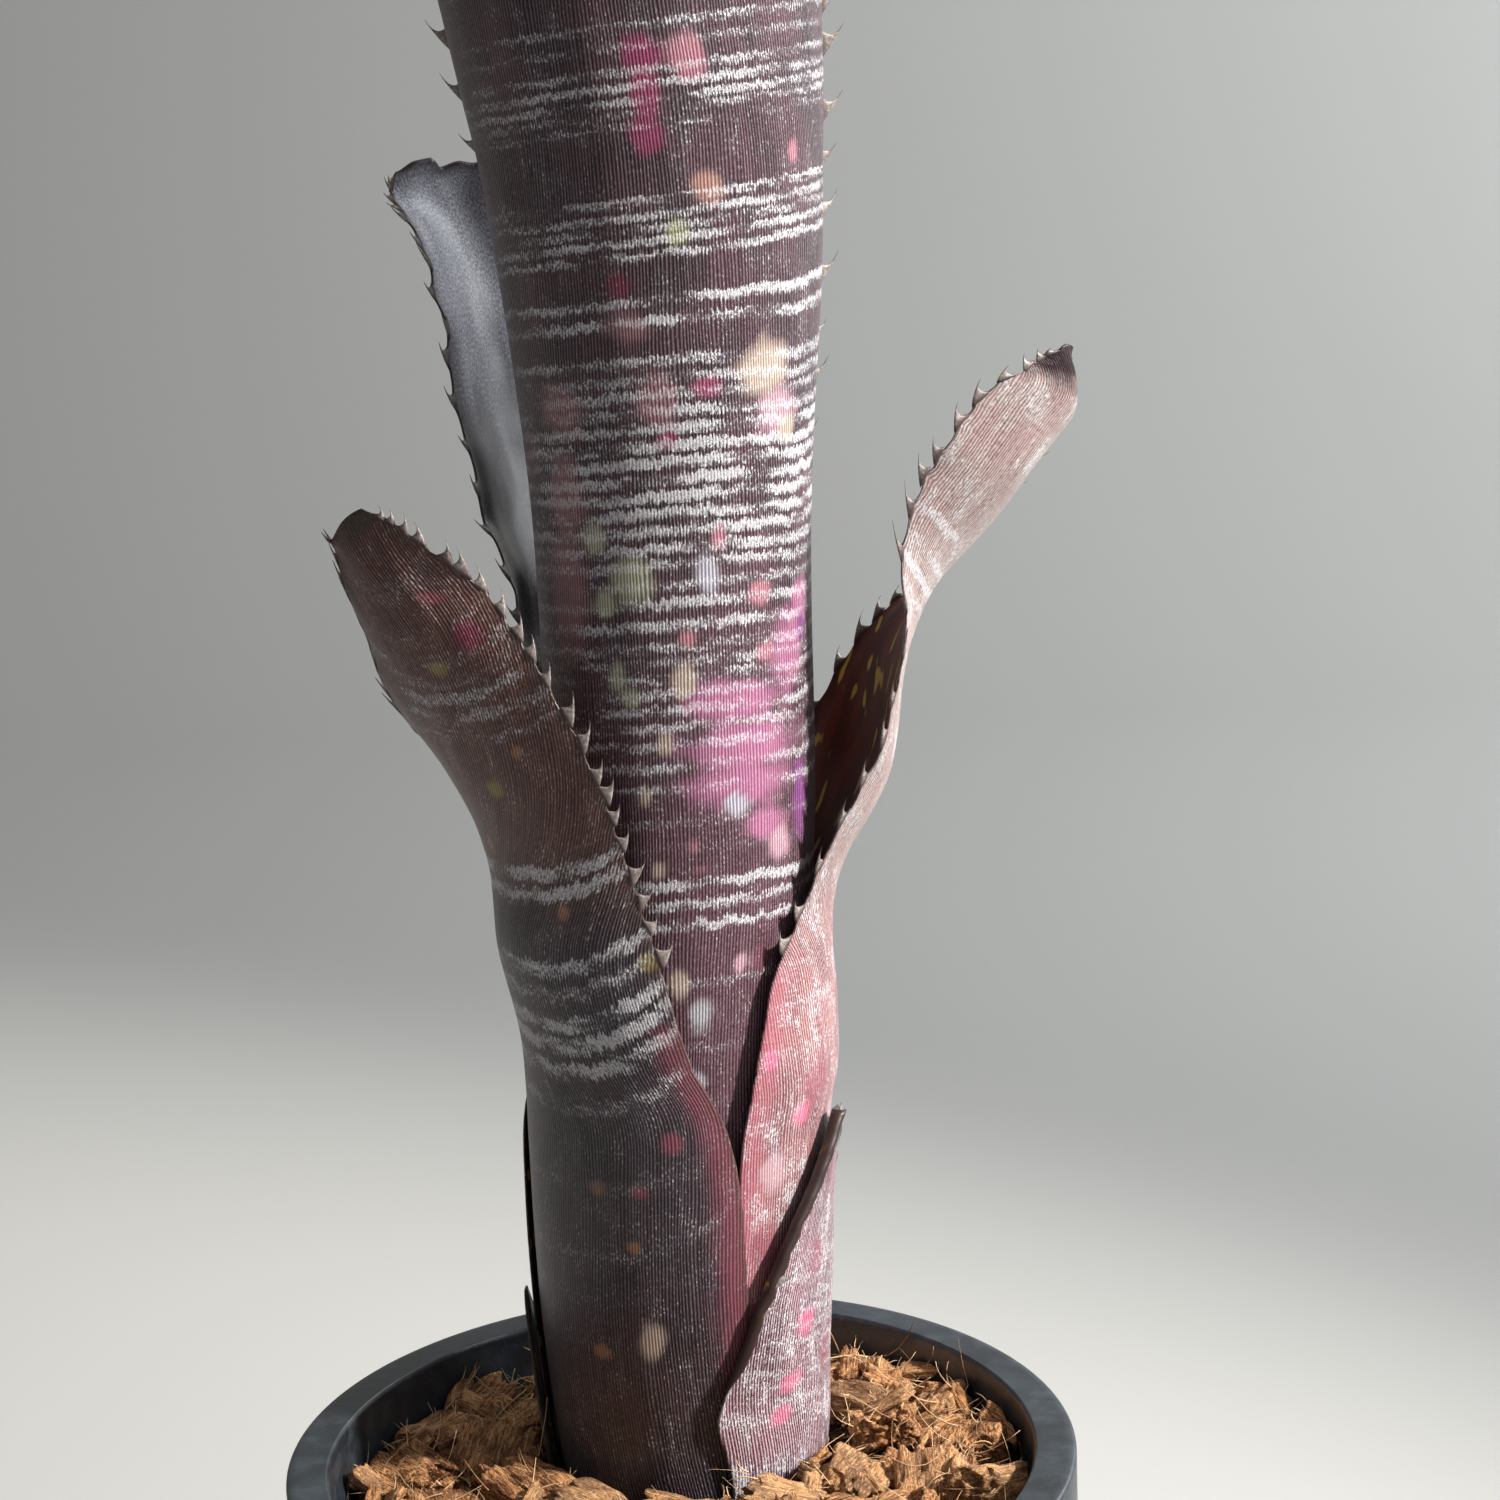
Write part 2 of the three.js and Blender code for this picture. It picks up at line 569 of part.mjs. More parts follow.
// ---------------------------------------------------------------- assembly
const MATERIALS = {
  leaf: new THREE.MeshStandardMaterial({ color: 0x5a3b46, roughness: 0.6, metalness: 0 }),
  dryLeaf: new THREE.MeshStandardMaterial({ color: 0x3a2c2a, roughness: 0.85, metalness: 0 }),
  pot: new THREE.MeshStandardMaterial({ color: 0x23282c, roughness: 0.6, metalness: 0 }),
  husk: new THREE.MeshStandardMaterial({ color: 0x9a6236, roughness: 0.95, metalness: 0 }),
  stem: new THREE.MeshStandardMaterial({ color: 0x6f5a44, roughness: 0.9, metalness: 0 }),
};

const group = new THREE.Group();
group.name = 'bromeliad';

function addPart(name, geometry, material) {
  const mesh = new THREE.Mesh(geometry, MATERIALS[material].clone());
  mesh.name = name;
  group.add(mesh);
}

const LEAF_COLUMNS = 13;

addPart('pot', potGeometry(), 'pot');
addPart('husk_bed', bedGeometry(), 'husk');
addPart('stem', toGeometry(stemSolid()), 'stem');

for (const [name, leaf] of Object.entries(LEAVES)) {
  const rows = 2 * leaf.stations.length - 1;
  let solid = toSolid(leafGeometry(leaf, rows, LEAF_COLUMNS));
  for (const [side, from, to, count] of leaf.spines ?? []) {
    for (let i = 0; i < count; i += 1) {
      const along = from + ((to - from) * i) / (count - 1);
      solid = solid.add(toSolid(spineGeometry(leaf, along, side)));
    }
  }
  addPart(name, toGeometry(solid), name === 'dry_basal_scale' ? 'dryLeaf' : 'leaf');
}

let chipCount = 0;
for (const band of CHIP_BANDS) {
  for (let place = 0; place < band.chips; place += 1) {
    chipCount += 1;
    const name = `husk_chip_${String(chipCount).padStart(2, '0')}`;
    addPart(name, toGeometry(toSolid(chipGeometry(band, place, chipCount))), 'husk');
  }
}

export default group;
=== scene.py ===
"""A potted tube bromeliad: banded, pink-spotted leaves with spined margins, in husk chips."""

import math

import bpy
import numpy as np
from mathutils import Matrix, Vector


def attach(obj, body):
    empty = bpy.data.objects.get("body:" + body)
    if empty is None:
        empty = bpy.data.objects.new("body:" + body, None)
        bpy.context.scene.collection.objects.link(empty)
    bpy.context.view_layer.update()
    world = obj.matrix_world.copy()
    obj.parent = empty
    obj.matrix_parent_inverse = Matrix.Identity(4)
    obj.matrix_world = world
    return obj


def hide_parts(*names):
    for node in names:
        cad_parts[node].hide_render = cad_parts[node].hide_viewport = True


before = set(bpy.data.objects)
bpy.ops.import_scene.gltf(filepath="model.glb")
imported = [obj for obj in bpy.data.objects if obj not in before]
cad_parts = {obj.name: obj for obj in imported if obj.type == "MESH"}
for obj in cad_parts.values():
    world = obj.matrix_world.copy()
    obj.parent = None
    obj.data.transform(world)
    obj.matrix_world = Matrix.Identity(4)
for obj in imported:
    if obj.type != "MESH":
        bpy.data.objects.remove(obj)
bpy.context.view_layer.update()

MM = 0.001
RAD = math.pi / 180

# --- sizes (millimetres)
POT_HEIGHT = 130
POT_LIP_RADIUS = 75
POT_BASE_RADIUS = 52.5
POT_WALL = 1.6
LIP_WIDTH = 8
LIP_DEPTH = 12
SHOULDER = POT_HEIGHT - LIP_DEPTH
MOUTH_RADIUS = POT_LIP_RADIUS - LIP_WIDTH
WALL_TOP_RADIUS = MOUTH_RADIUS + POT_WALL * 0.6
RIM_INSIDE = WALL_TOP_RADIUS - POT_WALL - 0.4
FLOOR = 2 * POT_WALL
DRAIN_HOLES = 6
DRAIN_RADIUS = 4
DRAIN_CIRCLE = 0.62 * POT_BASE_RADIUS
LEVEL = POT_HEIGHT - 12  # the top of the chips: leaf heights count from here
BED_TOP = POT_HEIGHT - 16
SOCKET_GAP = 0.8
CRUMBS, SHORT_THREADS, LONG_THREADS = 230, 420, 14
LEAF_THICKNESS = 0.95
LAYER_PITCH = LEAF_THICKNESS + 0.62
OUTER_LAYER = 7
ROW_SPACING, COLUMN_SPACING = 1.1, 1.2
RIB_PITCH = 0.64
SPINE_LENGTH, SPINE_WIDTH = 4.5, 4.3
FAR = 400  # beyond any leaf


# --- numbers
def curve_through(points):
    """A smooth curve through [position, value] points, level past both ends."""
    x = np.array([p[0] for p in points], float)
    y = np.array([p[1] for p in points], float)
    slope = np.empty_like(y)
    slope[1:-1] = (y[2:] - y[:-2]) / (x[2:] - x[:-2])
    slope[0] = (y[1] - y[0]) / (x[1] - x[0])
    slope[-1] = (y[-1] - y[-2]) / (x[-1] - x[-2])

    def value(at):
        at = np.clip(np.asarray(at, float), x[0], x[-1])
        i = np.clip(np.searchsorted(x, at, side="right") - 1, 0, len(x) - 2)
        span = x[i + 1] - x[i]
        t = (at - x[i]) / span
        return (
            y[i]
            + (y[i + 1] - y[i]) * t * t * (3 - 2 * t)
            + span * (slope[i] * t * (1 - t) ** 2 - slope[i + 1] * t * t * (1 - t))
        )

    return value


def hashed(ix, iy, iz):
    """A repeatable number from 0 to 1 for each whole-numbered place."""
    n = ix.astype(np.int64) * 374761393 + iy.astype(np.int64) * 668265263
    n = (n + iz.astype(np.int64) * 2147483647) & 0xFFFFFFFF
    n = ((n ^ (n >> 13)) * 1274126177) & 0xFFFFFFFF
    n = n ^ (n >> 16)
    return (n & 0xFFFFFF) / float(0xFFFFFF)


def noise(x, y, z=0.0):
    """Smooth noise from -1 to 1, about one lump for each unit."""
    x, y, z = np.broadcast_arrays(*(np.asarray(value, float) for value in (x, y, z)))
    ix, iy, iz = np.floor(x), np.floor(y), np.floor(z)
    fx, fy, fz = x - ix, y - iy, z - iz
    fx, fy, fz = (f * f * (3 - 2 * f) for f in (fx, fy, fz))
    total = 0
    for dx, wx in ((0, 1 - fx), (1, fx)):
        for dy, wy in ((0, 1 - fy), (1, fy)):
            for dz, wz in ((0, 1 - fz), (1, fz)):
                total = total + wx * wy * wz * hashed(ix + dx, iy + dy, iz + dz)
    return total * 2 - 1


def rough_noise(x, y, z=0.0, octaves=3):
    total, size = 0, 1.0
    for k in range(octaves):
        total = total + noise(x / size + 17 * k, y / size, z / size) * size
        size *= 0.5
    return total


def smooth_step(low, high, value):
    t = np.clip((value - low) / (high - low), 0, 1)
    return t * t * (3 - 2 * t)


def unit(vectors):
    return vectors / np.maximum(np.linalg.norm(vectors, axis=-1, keepdims=True), 1e-9)


# --- the tube of leaves
tube_radius = curve_through([
    [-20, 17], [0, 21], [22, 23.2], [47, 24.4], [82, 25], [132, 25.5], [172, 25.7], [190, 26.2],
    [208, 27.5], [227, 29.3], [252, 31.4], [264, 32.8], [280, 34.4], [312, 38], [350, 43],
])
tube_sway = curve_through([
    [0, 0], [60, 0.4], [100, 2], [130, 3.6], [170, 4], [227, 4], [252, 3], [280, 0.7], [320, -2],
    [350, -4],
])
rolled_radius = curve_through([[-2, 8], [60, 9.5], [200, 11.5], [290, 13], [330, 15]])
rolled_lean = curve_through([[0, 0], [80, 5], [200, 9], [330, 12]])


def layer_radius(layer, h):
    return tube_radius(h) + (layer - 2) * LAYER_PITCH


PLANT_X = 1.0
PLANT_Y = 0.68 * (MOUTH_RADIUS - float(layer_radius(OUTER_LAYER, 15)))


# Each leaf: its layer in the tube, its cross-sections from base to tip and its spines as
# (margin, from, to, count). A cross-section is (height above the chips, bearing, distance clear
# of its layer) at left margin, midrib and right margin. A level one is short: (height, left
# bearing, right bearing), then the three distances where they aren't 0. Where given:
#   slant, level, lift   how the cross-bands tilt and bend across the leaf
#   left_shade, narrow   how much they fade on the left as painted shade, and their width
#   flare, tip_flare     how far each margin's spines, or those at the tip, lean outwards
#   stout                size of the spines
#   wavy_tip, roll       a torn wavy end; the (reach, radius) of a rolled margin
#   dry_tip, rim         where the tip and the rim have dried
LEAVES = {
    "young_leaf": dict(
        layer=0, rolled=True,
        stations=[
            (-1, 30, 330), (60, 22, 338), (140, 20, 340), (220, 24, 336),
            (280, 32, 328), (306, 60, 300), (322, 120, 240), (328, 165, 195),
        ],
        spines=[(0, 0.72, 0.95, 9), (1, 0.72, 0.95, 9)],
    ),
    "back_leaf": dict(
        layer=1, slant=-0.04, flare=(0.6, 0.6),
        stations=[
            (-14, 85, 275), (5, 82, 278), (32, 80, 280), (132, 80, 280),
            (177, 81, 279), (200, 82, 278), (222, 84, 276), (257, 88, 272),
            (280, 95, 265), (307, 114, 246), (327, 136, 224, 1, 3, 1),
            (340, 158, 202, 5, 7, 5), (345, 173, 187, 9, 10, 9),
        ],
        spines=[(0, 0.72, 0.95, 10), (1, 0.72, 0.95, 10)],
    ),
    "front_leaf": dict(
        layer=2, slant=0.085, level=0.0030, left_shade=0.35, flare=(2.2, 2.2), stout=1.32,
        stations=[
            (-16, -98, 95), (4, -112, 108), (32, -122, 118), (102, -126, 122),
            (172, -122, 118), (198, -116, 111), (222, -108, 102), (256, -96, 93),
            (280, -92, 88), (307, -80, 76, 1, 0.5, 0), (330, -60, 54, 3, 4, 2),
            (344, -36, 26, 8, 10, 7), (350, -13, 1, 13, 14, 13),
        ],
        spines=[(0, 0.56, 0.97, 19), (1, 0.53, 0.97, 21)],
    ),
    "back_left_leaf": dict(
        layer=3, wavy_tip=2.4,
        stations=[
            (-18, -230, -40), (3, -233, -37), (32, -235, -35), (102, -230, -40),
            (132, -222, -60), (152, -212, -88),
            ((167, -200, 3), (167, -145, 5), (167, -115, 7)),
            ((182, -188, 9), (182, -148, 12.5), (182, -114, 10.8)),
            ((202, -178, 14), (202, -146, 18), (202, -117, 16.3)),
            ((222, -173, 14), (222, -145, 21), (222, -119, 18.5)),
            ((240, -168, 14), (239, -143, 23), (238, -121, 23.5)),
            ((251, -158, 13), (250, -140, 22.5), (247, -121, 26.4)),
            ((253, -151, 13), (254, -139, 20), (252, -122, 25)),
        ],
        spines=[(0, 0.5, 0.97, 15), (1, 0.5, 0.93, 16), (1, 0.955, 0.993, 5)],
    ),
    "right_leaf": dict(
        layer=4, dry_tip=(10, 20), tip_flare=3.0,
        stations=[
            (-20, 20, 200), (2, 21, 203), (22, 22, 205), (52, 24, 205, 0, 0.6, 0),
            (70, 25, 201, 0, 1.6, 0), (80, 29, 195, 0, 3, 0), (92, 34, 185, 0, 2.4, 0),
            (103, 39, 175, 0, 1.2, 0.5),
            ((116, 55, 0.3), (113, 95, 1.2), (117, 155, 1.5)),
            ((129, 63, 4.4), (122, 91, 3.5), (131, 139, 5.5)),
            ((144, 68, 11.6), (137, 92, 10.8), (146, 132, 8.8)),
            ((164, 70, 16), (157, 89, 14), (162, 118, 15.3)),
            ((185, 71, 16.6), (175, 85, 20.8), (170, 108, 20.5)),
            ((199, 73, 22.4), (190, 85, 33), (184, 99, 32)),
            ((209, 76, 29.2), (201, 86, 40.8), (196, 96, 40.5)),
            ((212.5, 79, 35.4), (207, 86, 44.5), (203, 92, 42.6)),
            ((216, 81.8, 41.6), (216.6, 83, 42.6), (215.8, 84.3, 43.7)),
        ],
        spines=[(0, 0.47, 0.985, 19), (1, 0.5, 0.985, 19)],
    ),
    "left_leaf": dict(
        layer=5, lift=(18, 19, 4.5), dry_tip=(2.5, 7), narrow=0.72, rim=1.5,
        stations=[
            (-22, -175, 30), (1, -177, 28), (22, -178, 27), (51, -172, 25),
            (65, -168, 23), (78, -162, 16, 0, 0.3, 0),
            ((90, -150, 0.3), (90, -82, 1.5), (90, 4, 0)),
            ((109, -130, 3), (108, -84, 5.6), (109, -7, 0)),
            ((125, -112, 6.5), (122, -76, 6.5), (126, -17.5, 1)),
            ((142, -95, 16.5), (138, -66, 9.5), (144, -27, 3.3)),
            ((157, -86, 24.5), (155, -65, 14.5), (162, -41.5, 5.7)),
            ((172, -84, 29.5), (169, -68, 19.5), (177, -58, 9.8)),
            ((184, -84.5, 32.5), (181, -76, 26.5), (187.5, -70.5, 20)),
            ((185, -84, 32.3), (189.5, -80.5, 30), (192, -77.5, 26.5)),
        ],
        spines=[(0, 0.62, 0.985, 17), (1, 0.55, 0.985, 21)],
    ),
    "front_basal_leaf": dict(
        layer=6, slant=-0.22, roll=(3.2, 0.85),
        stations=[
            (-22, 10, 108), (1, 18, 104), (20, 11, 100, 0, -0.5, -1.1),
            (35, 20, 95, 0, -0.5, -1.1), (42, 26, 94, 0, -0.5, -1.1),
            (53, 38, 91, 0, -0.4, -1), (61, 49, 87, 0.3, 0, -0.3),
            (67, 57, 83, 0.5, 0.5, 0.5), (73, 65, 75, 0.7, 0.7, 0.7),
        ],
        spines=[(0, 0.6, 0.97, 8), (1, 0.7, 0.97, 5)],
    ),
    "left_basal_leaf": dict(
        layer=6,
        stations=[
            (-22, -185, -85), (0, -185, -87), (22, -185, -88), (47, -175, -92),
            (62, -160, -95), (69, -146, -99), (74, -125, -106),
        ],
        spines=[],
    ),
    "dry_basal_scale": dict(
        layer=7,
        stations=[
            (-20, -118, -70), (-2, -117, -72), (10, -115, -75), (22, -108, -78),
            (30, -100, -84), (34, -95, -90),
        ],
        spines=[],
    ),
}

# --- markings
COLOURS = {
    "magenta": (0.36, 0.055, 0.15), "pink": (0.55, 0.23, 0.29), "orangepink": (0.50, 0.27, 0.22),
    "lime": (0.40, 0.41, 0.20), "darkred": (0.22, 0.03, 0.07), "dusty": (0.34, 0.17, 0.19),
    "cream": (0.66, 0.52, 0.43), "crimson": (0.18, 0.05, 0.08), "greencream": (0.52, 0.53, 0.38),
    "paleblue": (0.58, 0.56, 0.66), "orchid": (0.54, 0.20, 0.36), "palepink": (0.68, 0.40, 0.48),
    "violet": (0.30, 0.08, 0.30), "flush": (0.46, 0.13, 0.17), "silver": (0.56, 0.56, 0.60),
    "hotpink": (0.75, 0.16, 0.30), "pale": (0.55, 0.36, 0.40), "orange": (0.42, 0.20, 0.11),
    "yellow": (0.34, 0.26, 0.08), "brown": (0.28, 0.14, 0.09), "rose": (0.30, 0.075, 0.11),
}

# Spots on the outside of a leaf: (height, bearing, half width, half height, colour).
SPOTS = {
    "front_leaf": [
        (270, 2, 2.9, 3.4, "magenta"), (264, 2, 2.5, 6.5, "magenta"), (257, 1, 2.9, 3, "magenta"),
        (270, 16, 3.3, 3.6, "pink"), (253, 54, 1.4, 2.2, "pink"),
        (248, 19, 2.6, 2.7, "orangepink"), (240, 8, 2.2, 2.6, "lime"),
        (231, -13, 2.0, 2.1, "darkred"), (224, -11, 4, 2.6, "dusty"),
        (211, -3, 3.4, 4.6, "dusty"), (213, 16, 2.2, 1.9, "magenta"),
        (204, 1, 2.1, 1.8, "magenta"), (215, 40, 5.4, 4.6, "cream"),
        (208, 47, 4.6, 4, "palepink"), (205, 52, 2.6, 3, "cream"), (209, -42, 4.6, 4.4, "dusty"),
        (193, -46, 4.6, 8, "dusty"), (176, -48, 5.0, 12, "dusty"),
        (186, -32, 2.2, 2.8, "greencream"), (179, -16, 3.6, 4, "greencream"),
        (174, -28, 1.9, 2.6, "greencream"), (161, -24, 1.5, 2.6, "greencream"),
        (157, -19, 2.1, 2.2, "greencream"), (170, -45, 2.1, 2.6, "dusty"),
        (179, 15, 2.1, 3.7, "paleblue"), (186, 20, 1.5, 2.2, "pink"),
        (137, 24, 2.6, 3, "paleblue"), (175, 38, 2.6, 2.2, "pink"), (172, 65, 3, 4.1, "orchid"),
        (163, 55, 4.6, 7, "orchid"), (156, 25, 10, 3.6, "orchid"), (147, 30, 10.6, 5.2, "orchid"),
        (140, 29, 9.6, 4.2, "orchid"), (132, 38, 5, 3, "orchid"), (160, 4, 2.2, 4, "cream"),
        (149, -5, 1.7, 2.2, "cream"), (139, -14, 1.3, 2.2, "cream"), (125, -9, 1.1, 1.7, "cream"),
        (128, 46, 2.6, 3.6, "palepink"), (106, 27, 1.1, 1.7, "palepink"),
        (103, 1, 2, 2.7, "cream"), (168, 6, 1.5, 1.5, "pink"), (164, 40, 2.6, 1.9, "pink"),
        (168, 64, 2.1, 4.6, "violet"), (136, 61, 2.2, 7.2, "violet"), (129, 5, 0.8, 1.7, "pink"),
        (125, 8, 0.8, 1.1, "pink"), (106, 37, 1.9, 2.6, "crimson"), (97, 9, 2.2, 2.8, "silver"),
        (84, 8, 1.6, 2, "silver"), (78, 12, 1.9, 1.6, "silver"), (71, 7, 1.4, 1.4, "silver"),
        (66, 10, 1.1, 2.2, "silver"), (292, -30, 2.6, 4, "pink"), (300, 34, 3.4, 5, "magenta"),
        (316, 8, 2.6, 3.5, "cream"), (325, -24, 2.2, 3, "dusty"), (200, -70, 3, 5, "crimson"),
    ],
    "left_leaf": [
        (34, -12, 2.1, 3.9, "cream"), (31, -33, 1.6, 1.6, "orange"),
        (53, -17, 1.3, 1.4, "orange"), (74, -2, 1.7, 1.9, "rose"), (64, -14, 1.4, 1.4, "rose"),
        (109, -11, 1.6, 1.8, "yellow"), (64, -31, 1.6, 1.6, "brown"),
        (163, -66, 1.4, 1.6, "yellow"), (176, -66, 1.4, 1.2, "rose"), (150, -120, 2, 3, "cream"),
        (60, -110, 2.5, 4, "dusty"), (30, -80, 2, 3, "rose"), (169, -60, 2, 3, "darkred"),
        (140, -60, 1.6, 1.4, "yellow"), (148, -50, 1.2, 1.4, "orange"),
        (128, -72, 1.2, 2, "orange"), (135, -84, 1.4, 3, "yellow"),
        (118, -40, 1.2, 1.6, "orange"),
    ],
    "right_leaf": [
        (87, 37, 1.8, 2.9, "hotpink"), (65, 38, 3, 3.4, "pale"), (75, 53, 2, 2.3, "hotpink"),
        (50, 34, 3, 6, "rose"), (70, 80, 3, 4, "pale"), (92, 120, 3, 5, "hotpink"),
        (60, 140, 3, 6, "rose"), (80, 60, 3, 5, "rose"),
    ],
    "front_basal_leaf": [
        (22, 44, 2.2, 2, "hotpink"), (16, 39, 2, 2, "hotpink"), (33, 52, 2.2, 2.4, "hotpink"),
        (45, 60, 2, 3, "rose"), (24, 70, 2, 3, "rose"), (62, 68, 1.5, 4, "crimson"),
    ],
    "back_leaf": [
        (250, 170, 4, 5, "orchid"), (215, 195, 5, 6, "dusty"), (190, 150, 3, 5, "cream"),
        (160, 200, 5, 8, "crimson"), (290, 185, 3, 4, "magenta"), (270, 140, 2.5, 4, "pink"),
        (310, 190, 2.4, 3, "cream"), (235, 225, 3, 4, "greencream"),
    ],
    "back_left_leaf": [
        (230, -150, 3, 4, "dusty"), (205, -140, 2.5, 4, "cream"), (180, -150, 3, 4, "rose"),
        (120, -150, 4, 6, "dusty"), (90, -170, 3, 4, "cream"),
    ],
}

# Silver cross-bands: (distance up the midrib, strength).
BANDS = {
    "front_leaf": [
        (30, 0.15), (60, 0.2), (90.5, 0.35), (103.1, 0.4), (114.6, 0.85), (118.4, 0.8),
        (122.2, 0.95), (129, 0.25), (134, 0.4), (140.1, 0.6), (144.5, 0.6), (148.5, 0.7),
        (151.8, 0.65), (155, 0.75), (158, 0.6), (161, 0.7), (163.8, 0.6), (166.5, 0.75),
        (170.6, 0.8), (174.6, 0.75), (178, 0.6), (181.5, 0.8), (184.6, 0.85), (187.8, 0.9),
        (190.9, 1), (194, 1), (197, 1), (200.1, 1), (203.1, 0.95), (206.2, 0.9), (209.2, 0.75),
        (212.2, 0.7), (215, 0.7), (218.2, 0.7), (225.2, 0.85), (228.7, 0.9), (236.5, 0.75),
        (239, 0.85), (241.1, 0.6), (243.3, 0.8), (245.9, 0.7), (258.6, 0.5), (260.7, 0.6),
        (262.7, 0.7), (265.2, 0.75), (267.7, 0.7), (271.9, 0.45), (275.2, 0.55), (285, 0.6),
        (289, 0.7), (293, 0.6), (303, 0.7), (307, 0.8), (311, 0.6), (320, 0.6), (325, 0.6),
        (334, 0.5), (340, 0.4),
    ],
    "left_leaf": [
        (20, 0.15), (41.3, 0.25), (49.6, 0.35), (63.7, 0.3), (79.6, 0.5), (86.4, 0.75),
        (91.3, 1.0), (95.2, 0.95), (101, 0.6), (105.8, 0.75), (119.5, 0.8), (123.5, 0.85),
        (150, 0.4), (153.5, 0.5), (157, 0.5), (160.5, 0.45), (164, 0.4), (168, 0.3), (176, 0.3),
    ],
    "right_leaf": [
        (40, 0.15), (63, 0.25), (80, 0.3), (88, 0.4), (97, 0.5), (104, 0.4), (130, 0.2),
        (158, 0.4), (163, 0.6), (167, 0.7), (171, 0.85), (175, 0.8), (180, 0.9), (186, 0.3),
    ],
    "front_basal_leaf": [(h, 0.55) for h in range(14, 45, 3)],
    "back_leaf": [
        (h + 1.2 * math.sin(h), 0.5 + 0.35 * math.sin(h / 9))
        for h in list(range(60, 100, 9)) + list(range(110, 340, 5))
    ],
    "back_left_leaf": [
        (h + math.sin(h), 0.5 + 0.3 * math.sin(h / 7)) for h in range(60, 245, 6)
    ],
    "young_leaf": [(h, 0.5) for h in range(120, 320, 6)],
}

# Pink flushes along a margin, 0 left and 1 right: (margin, from height, to height, width, colour).
FLUSHES = {
    "left_leaf": [(1, 16, 96, 5.2, "rose")],
    "right_leaf": [(0, 30, 104, 5, "flush")],
}

# The look of each leaf: ground colours outside (dark, mid, pale rib tops), ground colour
# inside, how far the rib tops pale, partly as painted highlight (rib_top_pale_and_highlight),
# and the grooves darken as painted shade (groove_shade), the amount of silver scurf (dust),
# the colour where it has dried and, where the upper part differs, (from height, to height,
# colour).
PLUM = dict(
    dark=(0.030, 0.017, 0.022), mid=(0.082, 0.034, 0.046), pale=(0.24, 0.17, 0.20),
    inside=(0.075, 0.022, 0.028), rib_top_pale_and_highlight=0.34, groove_shade=0.66, dust=0.50,
    dried=(0.030, 0.016, 0.013),
)
LOOKS = {
    "young_leaf": dict(PLUM, dust=0.35, inside=(0.10, 0.03, 0.04)),
    "back_leaf": PLUM,
    "front_leaf": dict(PLUM, rib_top_pale_and_highlight=0.42, upper=(205, 100, (0.14, 0.052, 0.075))),
    "back_left_leaf": dict(PLUM, inside=(0.16, 0.15, 0.20)),
    "right_leaf": dict(
        PLUM, dark=(0.19, 0.060, 0.075), mid=(0.33, 0.13, 0.14), pale=(0.60, 0.47, 0.46),
        inside=(0.17, 0.026, 0.012), rib_top_pale_and_highlight=0.50, groove_shade=0.40, dust=1.15,
        upper=(100, 128, (0.41, 0.335, 0.31)), dried=(0.016, 0.004, 0.007),
    ),
    # The left leaf's rust-brown upper blade: partly its own colour, partly painted glow of light
    # through the leaf.
    "left_leaf": dict(
        PLUM, dark=(0.016, 0.010, 0.016), mid=(0.050, 0.022, 0.034), inside=(0.09, 0.022, 0.02),
        pale=(0.25, 0.21, 0.235), rib_top_pale_and_highlight=0.30, upper=(108, 132, (0.15, 0.042, 0.017)), dust=0.52,
        dried=(0.045, 0.028, 0.022),
    ),
    "front_basal_leaf": dict(
        PLUM, dark=(0.085, 0.024, 0.040), mid=(0.24, 0.085, 0.115), pale=(0.62, 0.50, 0.54),
        inside=(0.05, 0.022, 0.028), rib_top_pale_and_highlight=0.6, dust=1.25, dried=(0.034, 0.031, 0.032),
    ),
    "left_basal_leaf": dict(
        PLUM, dark=(0.050, 0.040, 0.044), mid=(0.09, 0.065, 0.065), inside=(0.05, 0.02, 0.02),
        rib_top_pale_and_highlight=0.45, dust=0.75,
    ),
    "dry_basal_scale": dict(
        PLUM, dark=(0.016, 0.014, 0.014), mid=(0.040, 0.032, 0.030), pale=(0.10, 0.08, 0.07),
        inside=(0.015, 0.012, 0.012), rib_top_pale_and_highlight=0.3, dust=0.12,
    ),
}


def cross_section(station):
    """The points at left margin, midrib and right margin of a station in either form."""
    if isinstance(station[0], tuple):
        return station
    h, start, end, left, mid, right = (*station, 0, 0, 0)[:6]
    return (h, start, left), (h, (start + end) / 2, mid), (h, end, right)


def leaf_lines(leaf, along, across):
    """Height, bearing and stand-off of the leaf for every pair of along and across."""
    stations = np.array([cross_section(station) for station in leaf["stations"]], float)
    last = len(stations) - 1
    reach = np.clip(along, 0, 1) * last
    i = np.minimum(np.floor(reach).astype(int), last - 1)
    t = (reach - i)[:, None, None]
    a, b = stations[i], stations[i + 1]
    before = np.where((i > 0)[:, None, None], stations[np.maximum(i - 1, 0)], 2 * a - b)
    after = np.where((i + 2 <= last)[:, None, None], stations[np.minimum(i + 2, last)], 2 * b - a)
    rows = 0.5 * (
        2 * a + (b - before) * t + (2 * before - 5 * a + 4 * b - after) * t * t
        + (3 * a - before - 3 * b + after) * t**3
    )
    left, mid, right = rows[:, 0], rows[:, 1], rows[:, 2]
    s = across[None, :, None]
    grid = (
        mid[:, None] + s * (right - left)[:, None] / 2
        + s * s * ((left + right) / 2 - mid)[:, None]
    )
    return grid[..., 0], grid[..., 1], grid[..., 2]


def leaf_points(leaf, h, az, out):
    if leaf.get("rolled"):
        radius, back = rolled_radius(h), rolled_lean(h)
    else:
        radius, back = layer_radius(leaf["layer"], h) + out, 0
    return np.stack([
        PLANT_X + tube_sway(h) + radius * np.sin(az * RAD),
        PLANT_Y + back - radius * np.cos(az * RAD),
        LEVEL + h,
    ], -1)


